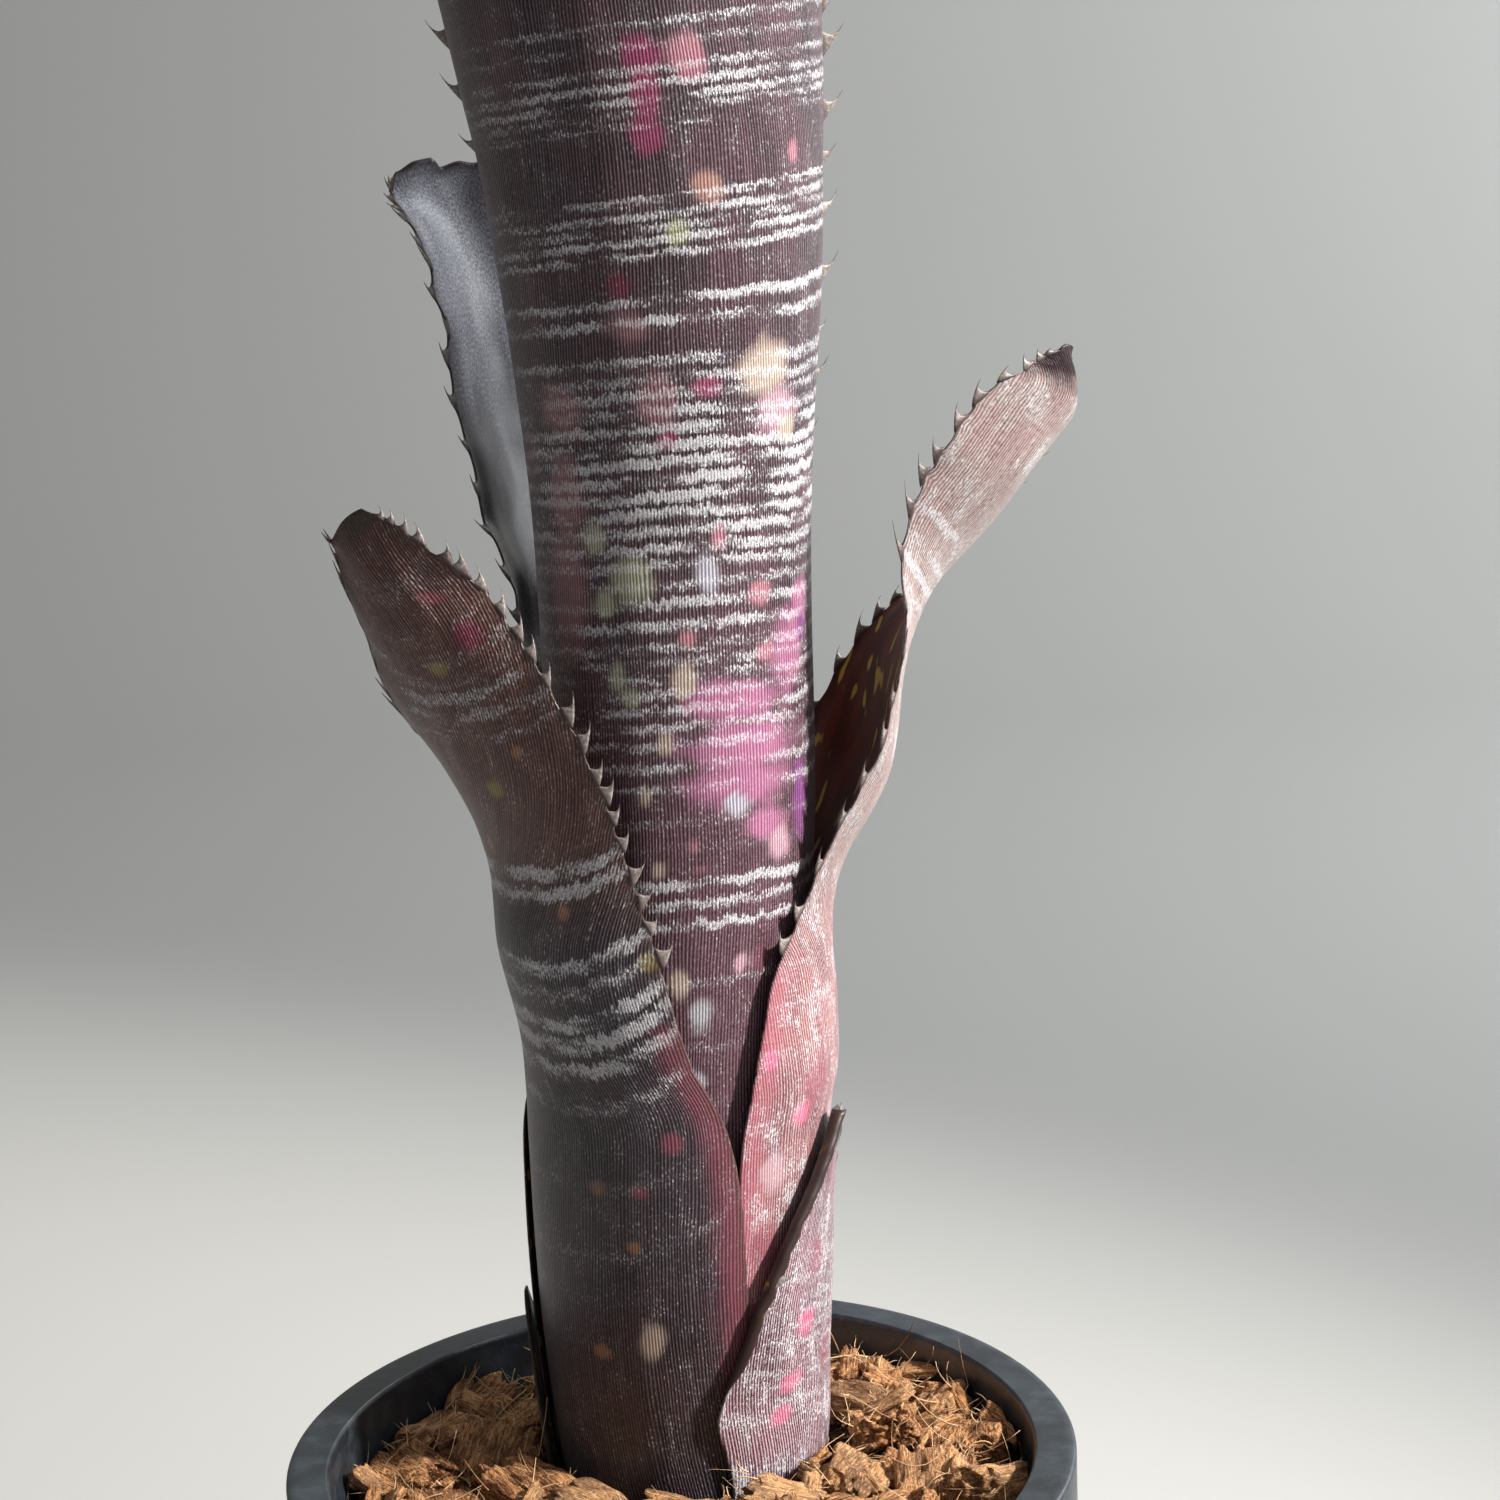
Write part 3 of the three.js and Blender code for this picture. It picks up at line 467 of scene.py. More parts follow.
# --- meshes
def make_mesh(name, points, faces, smooth=True):
    """A mesh from points in millimetres and a list of (faces array, material index)."""
    mesh = bpy.data.meshes.new(name)
    points = np.asarray(points, np.float32) * MM
    mesh.vertices.add(len(points))
    mesh.vertices.foreach_set("co", points.ravel())
    corners = np.concatenate([f.ravel() for f, _ in faces]).astype(np.int32)
    sizes = np.concatenate([np.full(len(f), f.shape[1]) for f, _ in faces]).astype(np.int32)
    starts = np.concatenate([[0], np.cumsum(sizes)[:-1]]).astype(np.int32)
    mesh.loops.add(len(corners))
    mesh.loops.foreach_set("vertex_index", corners)
    mesh.polygons.add(len(sizes))
    mesh.polygons.foreach_set("loop_start", starts)
    mesh.polygons.foreach_set("loop_total", sizes)
    index = np.concatenate([np.full(len(f), m) for f, m in faces]).astype(np.int32)
    mesh.polygons.foreach_set("material_index", index)
    mesh.polygons.foreach_set("use_smooth", np.full(len(sizes), smooth))
    mesh.update(calc_edges=True)
    mesh.validate()
    return mesh


def add_values(mesh, name, kind, values):
    attribute = mesh.attributes.new(name, kind, "POINT")
    key = {"FLOAT": "value", "FLOAT_VECTOR": "vector", "FLOAT_COLOR": "color"}[kind]
    attribute.data.foreach_set(key, np.asarray(values, np.float32).ravel())


def add_object(name, data):
    made = bpy.data.objects.new(name, data)
    bpy.context.scene.collection.objects.link(made)
    return made


def add_piece(name, mesh, materials, nodes):
    piece = add_object(name, mesh)
    for material in materials:
        mesh.materials.append(material)
    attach(piece, "root")
    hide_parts(*nodes)
    return piece


def grid_faces(rows, columns, start=0, flip=False, closed=False):
    i = np.arange(rows - 1)[:, None]
    j = np.arange(columns if closed else columns - 1)[None, :]
    k = (j + 1) % columns
    a, b = start + i * columns + j, start + i * columns + k
    d, c = a + columns, b + columns
    order = (a, d, c, b) if flip else (a, b, c, d)
    return np.stack([np.broadcast_to(v, a.shape).ravel() for v in order], 1)


def rail_faces(first, second):
    """Quads between two equally long rows of point numbers."""
    return np.stack([first[:-1], first[1:], second[1:], second[:-1]], 1)


def surface_normals(points):
    down = np.gradient(points, axis=0)
    over = np.gradient(points, axis=1)
    return unit(np.cross(over, down))


# --- shading
class Value:
    """A node's output that can be added, subtracted and multiplied."""

    def __init__(self, shader, socket):
        self.shader, self.socket = shader, socket

    def __add__(self, other):
        return self.shader.math("ADD", self, other)

    def __radd__(self, other):
        return self.shader.math("ADD", other, self)

    def __sub__(self, other):
        return self.shader.math("SUBTRACT", self, other)

    def __rsub__(self, other):
        return self.shader.math("SUBTRACT", other, self)

    def __mul__(self, other):
        return self.shader.math("MULTIPLY", self, other)


class Shader:
    """Builds a material's nodes from short calls."""

    def __init__(self, name):
        self.material = bpy.data.materials.new(name)
        self.material.use_nodes = True
        self.tree = self.material.node_tree
        self.tree.nodes.clear()
        output = self.tree.nodes.new("ShaderNodeOutputMaterial")
        self.bsdf = self.tree.nodes.new("ShaderNodeBsdfPrincipled")
        self.tree.links.new(self.bsdf.outputs[0], output.inputs["Surface"])

    def put(self, socket, value):
        if isinstance(value, Value):
            self.tree.links.new(value.socket, socket)
        else:
            socket.default_value = (*value, 1) if socket.type == "RGBA" else value

    def node(self, kind, inputs, output=0, **settings):
        made = self.tree.nodes.new("ShaderNode" + kind)
        for key, setting in settings.items():
            setattr(made, key, setting)
        for key, value in inputs.items():
            self.put(made.inputs[key], value)
        return Value(self, made.outputs[output])

    def math(self, operation, *values):
        return self.node("Math", dict(enumerate(values)), operation=operation)

    def step(self, low, high, value):
        """Smooth rise from 0 at low to 1 at high; a fall where low is the larger."""
        ends = {"Value": value, "From Min": low, "From Max": high}
        return self.node("MapRange", ends, interpolation_type="SMOOTHSTEP")

    def attribute(self, name, output="Vector"):
        return self.node("Attribute", {}, output, attribute_name=name)

    def split(self, vector):
        first = self.node("SeparateXYZ", {0: vector})
        return [Value(self, socket) for socket in first.socket.node.outputs]

    def join(self, x, y):
        return self.node("CombineXYZ", {0: x, 1: y})

    def object_mm(self):
        place = self.node("TexCoord", {}, "Object")
        return self.node("VectorMath", {0: place, "Scale": 1 / MM}, operation="SCALE")

    def noise(self, place, lumps=None, detail=2.0, roughness=0.5, scale=1.0):
        """Noise from 0 to 1, with that many lumps for each unit of place along x, y and z."""
        if lumps:
            place = self.node("VectorMath", {0: place, 1: lumps}, operation="MULTIPLY")
        look = {"Vector": place, "Scale": scale, "Detail": detail, "Roughness": roughness}
        return self.node("TexNoise", look)

    def mix(self, share, first, second):
        return self.node("Mix", {0: share, 6: first, 7: second}, 2, data_type="RGBA")

    def bump(self, height, distance_mm, strength):
        look = {"Distance": distance_mm * MM, "Strength": strength, "Height": height}
        self.put(self.bsdf.inputs["Normal"], self.node("Bump", look))

    def finish(self, colour, roughness, specular, sheen=0.0):
        look = {
            "Base Color": colour, "Roughness": roughness, "Specular IOR Level": specular,
            "Sheen Weight": sheen, "Sheen Roughness": 0.4,
        }
        for key, value in look.items():
            self.put(self.bsdf.inputs[key], value)
        return self.material


def shaded(colour, share, lift=0.0):
    return tuple(share * c + lift for c in colour)


def leaf_outside(name, look):
    """Maroon skin with fine ribs, silver scurf, ragged silver bands and soft coloured spots."""
    s = Shader(name)
    place = s.attribute("leaf_mm")
    u, v, _ = s.split(place)
    tint = s.attribute("tint", "Color")
    drift = s.noise(place, (0.15, 0.03, 1), 1)
    rib = s.math("SINE", (u + drift * 2.0) * (2 * math.pi / RIB_PITCH)) * 0.5 + 0.5
    each_rib = s.noise(place, (1.3, 0.05, 1), 1, 0.6)
    grain = s.noise(place, (2.7, 1.25, 1), 3, 0.7)
    salt = s.noise(place, (5.2, 3.4, 1), 1, 0.6)
    streak = s.noise(place, (1.1, 0.10, 1), 2, 0.6)
    cloud = s.noise(place, (0.20, 0.13, 1), 3, 0.6)
    blotch = s.noise(place, (0.09, 0.05, 1), 3)

    # Blotched ground; rib tops pale, partly own colour and partly painted highlight, broken along
    # their length.
    ground = s.mix(s.step(0.36, 0.66, blotch), look["dark"], look["mid"])
    if "upper" in look:
        low, high, upper = look["upper"]
        uneven = s.step(0.38, 0.62, streak) * 0.35 + s.step(0.35, 0.65, cloud) * 0.3
        ground = s.mix(s.step(low, high, v) * (0.42 + uneven), ground, upper)
    ground = s.mix(s.step(0.52, 0.34, grain) * 0.65, ground, shaded(look["dark"], 0.45))
    broken = (each_rib - 0.5) * 1.2 + (grain - 0.5) * 1.5 + (salt - 0.5) * 1.1
    ground = s.mix(s.step(0.45, 0.95, rib + broken) * look["rib_top_pale_and_highlight"], ground, look["pale"])

    # Soft spots with blurred edges, a little drawn out along the leaf, then painted shade in the
    # grooves.
    fray = s.noise(place, (0.8, 0.3, 1), 3, 0.6)
    spot = s.step(0.04, 0.80, s.attribute("spot", "Fac") + (fray - 0.5) * 0.45)
    ground = s.mix(spot * 0.74, ground, tint)
    groove_shade = s.math("POWER", 1.0 - rib, 1.6)
    ground = s.mix(groove_shade * look["groove_shade"], ground, (0.0, 0.0, 0.0))

    # Cross-bands: every rib carries its own dash of scurf, so both edges are torn.
    band_turn, band_space, band_strength = s.split(s.attribute("bands"))
    number = s.math("ROUND", band_turn)
    dash = s.join(s.math("FLOOR", u * (2 / RIB_PITCH)), number)
    dash = s.node("TexWhiteNoise", {"Vector": dash}, noise_dimensions="2D")
    wander = s.noise(s.join(u * 0.33, number * 3.7), None, 2, 0.7)
    off = (band_turn - number) * band_space + (dash - 0.5) * 0.85 + (wander - 0.5) * 2.2
    band = s.step(-2.1, -0.35, off) * (1.0 - s.step(0.45, 1.25, off))
    patch = s.noise(s.join(u * 0.085, v * 0.22))
    cover = band * band_strength * (0.35 + s.step(0.30, 0.62, patch) * 0.75)
    dust = s.step(0.42, 0.72, cloud) * 0.42 + s.step(0.48, 0.72, streak) * 0.35
    cover = s.math("MAXIMUM", cover, (0.12 + dust) * look["dust"])
    limit = 0.72 - cover * 0.36
    silver = s.step(limit - 0.07, limit + 0.07, grain + (rib - 0.5) * 0.10)
    silver = silver * (0.46 + s.step(0.10, 0.55, cover) * 0.40)
    silver = silver * (0.58 + s.step(0.40, 0.56, salt) * 0.42)
    silver = s.math("MAXIMUM", silver, cover * cover * 0.36)
    bright = s.mix(s.step(0.3, 0.75, grain), (0.40, 0.39, 0.42), (0.80, 0.79, 0.83))
    colour = s.mix(silver, ground, s.mix(spot * 0.35, bright, tint))

    # Dried rims near margin and tip.
    dried = s.mix(s.step(0.54, 0.70, grain), look["dried"], shaded(look["dried"], 2.0, 0.035))
    colour = s.mix(s.attribute("dry", "Fac"), colour, dried)
    s.bump(rib * 0.8 + (grain * 0.4 + silver * 0.8), 0.10, 0.8)
    return s.finish(colour, 0.40 + silver * 0.28, specular=0.42, sheen=0.08)


def leaf_inside(name, look, finish):
    """The inner face: smoother, with a soft lustre, and plain, flecked or silver; silver is
    painted reflection over painted shade.
    """
    s = Shader(name)
    place = s.attribute("leaf_mm")
    fine = s.noise(place, (2.2, 0.5, 1), 2, 0.6)
    broad = s.noise(place, (0.20, 0.05, 1))
    colour = s.mix(s.step(0.3, 0.7, broad), shaded(look["inside"], 0.45), look["inside"])
    if finish == "silver":
        _, v, _ = s.split(place)
        # Silver: painted reflection of the light on the upper part, painted shade from the tube
        # below.
        rise = s.step(188, 240, v + (broad - 0.5) * 40)
        colour = s.mix(rise, (0.006, 0.005, 0.007), (0.36, 0.37, 0.43))
        streak = s.noise(place, (0.75, 0.022, 1), 3, 0.65)
        colour = s.mix(s.step(0.46, 0.66, streak) * 0.35, colour, (0.045, 0.042, 0.055))
        salt = s.noise(place, (3.0, 1.5, 1), 2, 0.7)
        colour = s.mix(s.step(0.54, 0.42, salt) * 0.55, colour, (0.055, 0.052, 0.068))
        # Pale specks where the reflection falls: painted glints.
        bright = s.step(0.50, 0.64, salt) * (rise * 0.65)
        colour = s.mix(bright, colour, (0.60, 0.60, 0.66))
    elif finish == "flecked":
        fleck = s.noise(place, (0.50, 0.15, 1), 0)
        colour = s.mix(s.step(0.66, 0.73, fleck), colour, (0.62, 0.38, 0.05))
    colour = s.mix(s.attribute("dry", "Fac"), colour, (0.03, 0.015, 0.012))
    s.bump(fine + broad * 0.6, 0.08, 0.6)
    return s.finish(colour, 0.40, specular=0.45, sheen=0.03)


def spine_material():
    """Grey horn, darker at the root and the point."""
    s = Shader("spine")
    _, t, _ = s.split(s.attribute("leaf_mm"))
    grain = s.noise(s.object_mm(), scale=1.7)
    pale = s.mix(s.step(0.4, 0.7, grain), (0.17, 0.14, 0.13), (0.34, 0.305, 0.28))
    colour = s.mix(s.step(0.02, 0.40, t), (0.07, 0.045, 0.045), pale)
    colour = s.mix(s.step(0.70, 1.0, t), colour, (0.05, 0.030, 0.026))
    s.bump(grain, 0.1, 0.5)
    return s.finish(colour, 0.45, specular=0.5)


SPINE = spine_material()


# --- leaves
def spine_shares(leaf, seed):
    """Where the spines stand: margin, share of the length, size; closer towards the tip."""
    rng = np.random.default_rng(seed + 100)
    made = []
    for side, start, end, number in leaf["spines"]:
        for k in range(number):
            t = (k + rng.uniform(-0.2, 0.2)) / (number - 1)
            share = start + (end - start) * (1 - (1 - min(t, 1)) ** 1.22)
            size = rng.uniform(0.82, 1.15) * (1 - 0.4 * float(smooth_step(0.9, 1, share)))
            made.append((side, share, size))
    return made


def thorns(places, outer, normals, leaf, rng):
    """Hooked spines along the margins, like flattened cat's claws bent towards the tip."""
    rings, sides = 9, 8
    last = (rings - 1) * sides
    tip = last + np.array([[0, 1, 2, 3], [0, 3, 4, 7], [4, 5, 6, 7]])
    root_end = np.array([[3, 2, 1, 0], [7, 4, 3, 0], [7, 6, 5, 4]])
    one = np.concatenate([grid_faces(rings, sides, closed=True), tip, root_end])
    stout = leaf.get("stout", 1.0)
    angle = 2 * math.pi * np.arange(sides)[:, None] / sides
    points = []
    for side, share, size in places:
        column, within = ((0, 3), (-1, -4))[side]
        i = int(np.clip(round(share * (len(outer) - 1)), 1, len(outer) - 2))
        root, normal = outer[i, column], normals[i, column]
        lean = leaf.get("flare", (0.0, 0.0))[side]
        if side == 1:
            lean += leaf.get("tip_flare", 0.0) * float(smooth_step(0.84, 0.93, share))
        outward = unit(unit(root - outer[i, within]) + lean * normal)
        tipward = unit(outer[i + 1, column] - outer[i - 1, column])
        thin = unit(np.cross(outward, tipward))
        length, width = SPINE_LENGTH * stout * size, SPINE_WIDTH * stout * size
        hook = rng.uniform(0.50, 0.80)
        for t in np.arange(rings) / (rings - 1):
            middle = root - normal * LEAF_THICKNESS * 0.25
            middle = middle + outward * (length * (t - 0.22 * t * t) - 0.8)
            middle = middle + tipward * length * hook * t**1.9
            wide = width * 0.5 * ((1 - t) ** 2.1) + 0.05 + 0.10 * (1 - t)
            thick = 0.36 * (1 - t) + 0.05
            points.append(middle + tipward * wide * np.cos(angle) + thin * thick * np.sin(angle))
    if not points:
        return np.zeros((0, 3)), np.zeros((0, 4), int), np.zeros(0)
    quads = np.concatenate([one + k * rings * sides for k in range(len(places))])
    turns = np.tile(np.repeat(np.arange(rings) / (rings - 1), sides), len(places))
    return np.concatenate(points), quads, turns


class Blade:
    """A leaf's outer face as a grid of points, with the distances that its markings use."""

    def __init__(self, leaf, seed):
        self.leaf, self.seed = leaf, seed
        probe = np.linspace(0, 1, 400)
        lines = leaf_points(leaf, *leaf_lines(leaf, probe, np.array([-1.0, 0.0, 1.0])))
        walked = np.linalg.norm(np.diff(lines, axis=0), axis=-1).max(axis=1)
        walked = np.concatenate([[0], np.cumsum(walked)])
        rows = int(walked[-1] / ROW_SPACING) + 2
        self.arc = np.linspace(0, walked[-1], rows)
        self.to_tip = walked[-1] - self.arc
        along = np.interp(self.arc, walked, probe)

        whole = leaf_points(leaf, *leaf_lines(leaf, probe, np.linspace(-1, 1, 61)))
        widest = np.linalg.norm(np.diff(whole, axis=1), axis=-1).sum(1).max()
        columns = int(widest / COLUMN_SPACING) + 5
        across = np.sin(np.linspace(-1, 1, columns) * 1.25) / math.sin(1.25)
        self.h, self.az, self.out = leaf_lines(leaf, along, across)
        self.outer = leaf_points(leaf, self.h, self.az, self.out)

        # Across from the midrib (u) and up the midrib (v), in millimetres.
        steps = np.linalg.norm(np.diff(self.outer, axis=1), axis=-1)
        run = np.concatenate([np.zeros((rows, 1)), np.cumsum(steps, 1)], 1)
        middle = np.array([np.interp(0, across, row) for row in run])
        self.u = run - middle[:, None]
        self.v = np.broadcast_to(leaf_lines(leaf, along, np.array([0.0]))[0], self.u.shape)
        self.from_margin = (self.u - self.u[:, :1], self.u[:, -1:] - self.u)
        self.to_margin = np.minimum(*self.from_margin)
        self.places = spine_shares(leaf, seed)

    def shape(self):
        self.make_uneven()
        if "wavy_tip" in self.leaf:
            wave = self.leaf["wavy_tip"] * noise(self.u / 3.4 + self.seed, 0.5) - 0.6
            fade = np.exp(-self.to_tip / 5)[:, None]
            tipward = unit(self.outer[-1] - self.outer[-3])
            self.outer = self.outer + tipward[None] * (wave * fade)[..., None]
        self.swell_margins()
        if "roll" in self.leaf:
            self.roll_margin(*self.leaf["roll"])
        self.normals = surface_normals(self.outer)
        thickness = LEAF_THICKNESS * (0.42 + 0.58 * smooth_step(0, 4.5, self.to_margin))
        self.inner = self.outer - self.normals * thickness[..., None]

    def make_uneven(self):
        """Gentle lumps, with a flutter of the margin where the blade is free of the tube."""
        u, v, seed = self.u, self.v, self.seed
        rolled = self.leaf.get("rolled")
        free = 0.3 * np.ones_like(u) if rolled else smooth_step(1.5, 9, self.out)
        free = np.maximum(free, smooth_step(270, 320, self.h) * 0.6)
        lumps = noise(u / 9 + seed, v / 14) + 0.5 * noise(u / 4 + 3 * seed, v / 7)
        near_edge = np.exp(-self.to_margin / 3.0)
        flutter = noise(v / 6 + 40 * np.sign(u) + seed, 0.5) * near_edge * free * 0.9
        rise = lumps * (0.10 + 0.55 * free) * 0.45 + flutter
        self.outer = self.outer + surface_normals(self.outer) * rise[..., None]

    def swell_margins(self):
        """Margins that swell into the root of each spine, with shallow bays between."""
        ragged = noise(self.arc / 2.6, self.seed, 5) * 0.15
        for side, (column, within) in enumerate(((0, 3), (-1, -4))):
            roots = np.array([share * self.arc[-1] for s, share, _ in self.places if s == side])
            swell = ragged.copy()
            if len(roots):
                near = np.abs(self.arc[:, None] - roots[None]).min(1)
                armed = (self.arc > roots.min() - 4) & (self.arc < roots.max() + 4)
                swell += np.where(armed, 1.3 * np.exp(-near / 1.8) - 0.35, 0)
            sideways = unit(self.outer[:, column] - self.outer[:, within])
            push = np.exp(-self.from_margin[side] / 1.3) * swell[:, None]
            self.outer = self.outer + sideways[:, None] * push[..., None]

    def roll_margin(self, reach, radius):
        """The left margin dried and rolled outwards into a narrow tube."""
        curled = np.maximum(0, reach - self.from_margin[0]) * smooth_step(8, 34, self.h)
        radius = radius * (1 + 0.35 * noise(self.h / 5, 2.5))
        angle = curled / radius
        edgeward = unit(self.outer[:, :1] - self.outer[:, 8:9])
        moved = edgeward * (radius * np.sin(angle) - curled)[..., None]
        moved = moved + surface_normals(self.outer) * (radius * (1 - np.cos(angle)))[..., None]
        self.outer = self.outer + moved

    def bands(self, knots):
        """Count of cross-bands passed, their spacing and the strength of the nearest one."""
        leaf, u, v = self.leaf, self.u, self.v
        at, amount = np.array(sorted(knots), float).T
        level = v - leaf.get("slant", 0) * u
        if "level" in leaf:
            lower = 1 - smooth_step(216, 240, v)
            level = level + leaf["level"] * lower * np.clip(u + 4, 0, 32) ** 2
        if "lift" in leaf:
            start, span, rise = leaf["lift"]
            level = level - rise * (np.maximum(0, u - start) / span) ** 2
        last = len(at) - 1
        ends = np.concatenate([[at[0] - FAR], at, [at[-1] + FAR]])
        turns = np.interp(level, ends, np.arange(len(ends)) - 1.0)
        beyond = (level < at[0] - 3) | (level > at[-1] + 3)
        below = np.floor(np.clip(turns, 0, last - 0.001)).astype(int)
        gap = np.maximum(at[np.minimum(below + 1, last)] - at[below], 1)
        strength = amount[np.clip(np.round(turns).astype(int), 0, last)]
        narrow = leaf.get("narrow", 1.0)
        # Bands fade towards the left: painted shade on the side away from the light.
        if "left_shade" in leaf:
            strength = strength * (1 - leaf["left_shade"] * (1 - smooth_step(-75, 5, self.az)))
            narrow = narrow + 0.3 * smooth_step(218, 232, v)
        space, strength = np.where(beyond, FAR, gap * narrow), np.where(beyond, 0, strength)
        return np.stack([turns, space, strength], -1)

    def spots(self, spots, flushes):
        """The colour and the strength of the strongest spot or flush at each point."""
        u, h = self.u, self.h
        tint = np.zeros((*u.shape, 4))
        tint[..., 3] = 1
        mask = np.zeros(u.shape)
        marks = []
        radius = (rolled_radius if self.leaf.get("rolled") else tube_radius)(h) + self.out
        for spot_h, spot_az, wide, tall, colour in spots:
            du = (self.az - spot_az) * RAD * radius
            skew = 0.5 * noise(u / 3, self.v / 3, spot_h)
            far = np.sqrt((du / wide) ** 2 + ((h - spot_h) / tall) ** 2) * (1 + 0.5 * skew)
            marks.append((np.clip(1.25 - 0.85 * far, 0, 1), colour))
        for side, low, high, wide, colour in flushes:
            near = 0.74 * (1 - smooth_step(0, 2 * wide, self.from_margin[side]))
            near = near * smooth_step(low - 12, low + 6, h)
            marks.append((near * (1 - smooth_step(high - 2, high + 4, h)), colour))
        for near, colour in marks:
            tint[near > mask, :3] = COLOURS[colour]
            mask = np.maximum(mask, near)
        return tint, mask

    def dryness(self):
        """How dried each point is: the tip, the margins and, where told, a wider rim."""
        leaf, u, v = self.leaf, self.u, self.v
        dry = np.exp(-self.to_tip / 2.2)[:, None] * np.ones_like(u)
        if "dry_tip" in leaf:
            torn = noise(u / 2.5, v / 2.5, self.seed) * 2.5
            dry = np.maximum(dry, 1 - smooth_step(*leaf["dry_tip"], self.to_tip[:, None] + torn))
        if "roll" in leaf:
            torn = self.from_margin[0] + noise(u / 1.5, v / 3, self.seed) * 1.2
            rim = (1 - smooth_step(1.4, 3.2, torn)) * smooth_step(26, 40, self.h)
            dry = np.maximum(np.maximum(dry, rim), smooth_step(60, 68, self.h))
        return np.maximum(dry, 0.75 * np.exp(-self.to_margin / leaf.get("rim", 0.35)))


def build_leaf(name, leaf, seed):
    blade = Blade(leaf, seed)
    blade.shape()
    tint, mask = blade.spots(SPOTS.get(name, []), FLUSHES.get(name, []))
    values = {
        "leaf_mm": np.stack([blade.u, blade.v, np.full_like(blade.u, seed)], -1),
        "bands": blade.bands(BANDS.get(name, [(0, 0.0), (FAR, 0.0)])),
        "tint": tint, "spot": mask, "dry": blade.dryness(),
    }
    rows, columns = blade.u.shape
    total = rows * columns
    first = np.arange(total).reshape(rows, columns)
    second = first + total
    faces = [
        (grid_faces(rows, columns), 0),
        (grid_faces(rows, columns, start=total, flip=True), 1),
        (rail_faces(first[:, 0], second[:, 0]), 0),
        (rail_faces(second[:, -1], first[:, -1]), 0),
        (rail_faces(second[0], first[0]), 0),
        (rail_faces(first[-1], second[-1]), 0),
    ]
    rng = np.random.default_rng(seed + 200)
    claws, quads, turns = thorns(blade.places, blade.outer, blade.normals, leaf, rng)
    faces.append((quads + 2 * total, 2))
    points = [blade.outer.reshape(-1, 3), blade.inner.reshape(-1, 3), claws]
    mesh = make_mesh(name, np.concatenate(points), faces)
    kinds = {"leaf_mm": "FLOAT_VECTOR", "bands": "FLOAT_VECTOR", "tint": "FLOAT_COLOR"}
    for key, data in values.items():
        face = data.reshape(total, -1)
        ends = np.zeros((len(claws), face.shape[1]))
        if key == "leaf_mm":
            ends[:, 1] = turns
        add_values(mesh, key, kinds.get(key, "FLOAT"), np.concatenate([face, face, ends]))
    look = LOOKS[name]
    # The back-left leaf's silver inner face is painted reflection and shade.
    inside = {"back_left_leaf": "silver", "young_leaf": "plain"}.get(name, "flecked")
    materials = [
        leaf_outside(name + "_outside", look), leaf_inside(name + "_inside", look, inside), SPINE,
    ]
    slot = "dry_leaf" if name == "dry_basal_scale" else "leaf"
    add_piece("shown_" + name, mesh, materials, [name])


for place_in_list, (leaf_name, leaf) in enumerate(LEAVES.items()):
    build_leaf(leaf_name, leaf, place_in_list + 1)


# --- pot
def pot_material():
    s = Shader("pot_plastic")
    place = s.object_mm()
    fine = s.noise(place, (1.2, 1.2, 1.2), 4, 0.6)
    broad = s.noise(place, (0.05, 0.05, 0.05), 3)
    scratch = s.noise(place, (0.35, 2.6, 0.6), 3, 0.7)
    smear = s.noise(place, (0.11, 0.16, 0.2), 4, 0.65)
    _, _, z = s.split(place)
    lip = s.step(SHOULDER - 1, SHOULDER + 1, z)
    colour = s.mix(s.step(0.3, 0.7, broad), (0.007, 0.010, 0.014), (0.014, 0.020, 0.027))
    colour = s.mix(s.step(0.56, 0.74, scratch) * 0.22, colour, (0.17, 0.18, 0.19))
    bloom = s.step(0.38, 0.78, smear) * (0.08 + lip * 0.24)
    colour = s.mix(bloom, colour, (0.085, 0.105, 0.125))
    colour = s.mix(s.step(0.62, 0.8, fine) * 0.3, colour, (0.20, 0.20, 0.20))
    s.bump(fine + scratch * 0.4, 0.05, 0.5)
    return s.finish(colour, 0.26 + fine * 0.22, specular=0.72)


def ring_angles(count):
    return 2 * math.pi * np.arange(count) / count


def capped_faces(rings, segments):
    """Faces of a body of rings that is closed by one point before and one after them."""
    here = np.arange(segments)
    after = (here + 1) % segments
    last = 1 + rings * segments
    first_cap = np.stack([np.zeros(segments, int), 1 + after, 1 + here], 1)
    last_cap = np.stack([np.full(segments, last), last - segments + here,
                         last - segments + after], 1)
    return [first_cap, grid_faces(rings, segments, start=1, closed=True), last_cap]


def turned_mesh(name, profile, segments):
    """A closed turned body from a list of (radius, z) that starts and ends on the axis."""
    angle = ring_angles(segments)
    rings = [np.stack([r * np.cos(angle), r * np.sin(angle), np.full(segments, z)], 1)
             for r, z in profile[1:-1]]
    points = np.concatenate([[(0, 0, profile[0][1])], *rings, [(0, 0, profile[-1][1])]])
    return make_mesh(name, points, [(f, 0) for f in capped_faces(len(rings), segments)])


def rounded(corners, radius, steps=4):
    """A profile with every inner corner rounded off."""
    made = [corners[0]]
    for before, corner, after in zip(corners, corners[1:], corners[2:]):
        c = np.array(corner, float)
        a, b = np.array(before, float) - c, np.array(after, float) - c
        reach = min(radius, 0.45 * np.linalg.norm(a), 0.45 * np.linalg.norm(b))
        start, end = c + unit(a) * reach, c + unit(b) * reach
        for i in range(steps + 1):
            t = i / steps
            made.append(tuple((1 - t) ** 2 * start + 2 * t * (1 - t) * c + t * t * end))
    made.append(corners[-1])
    return made


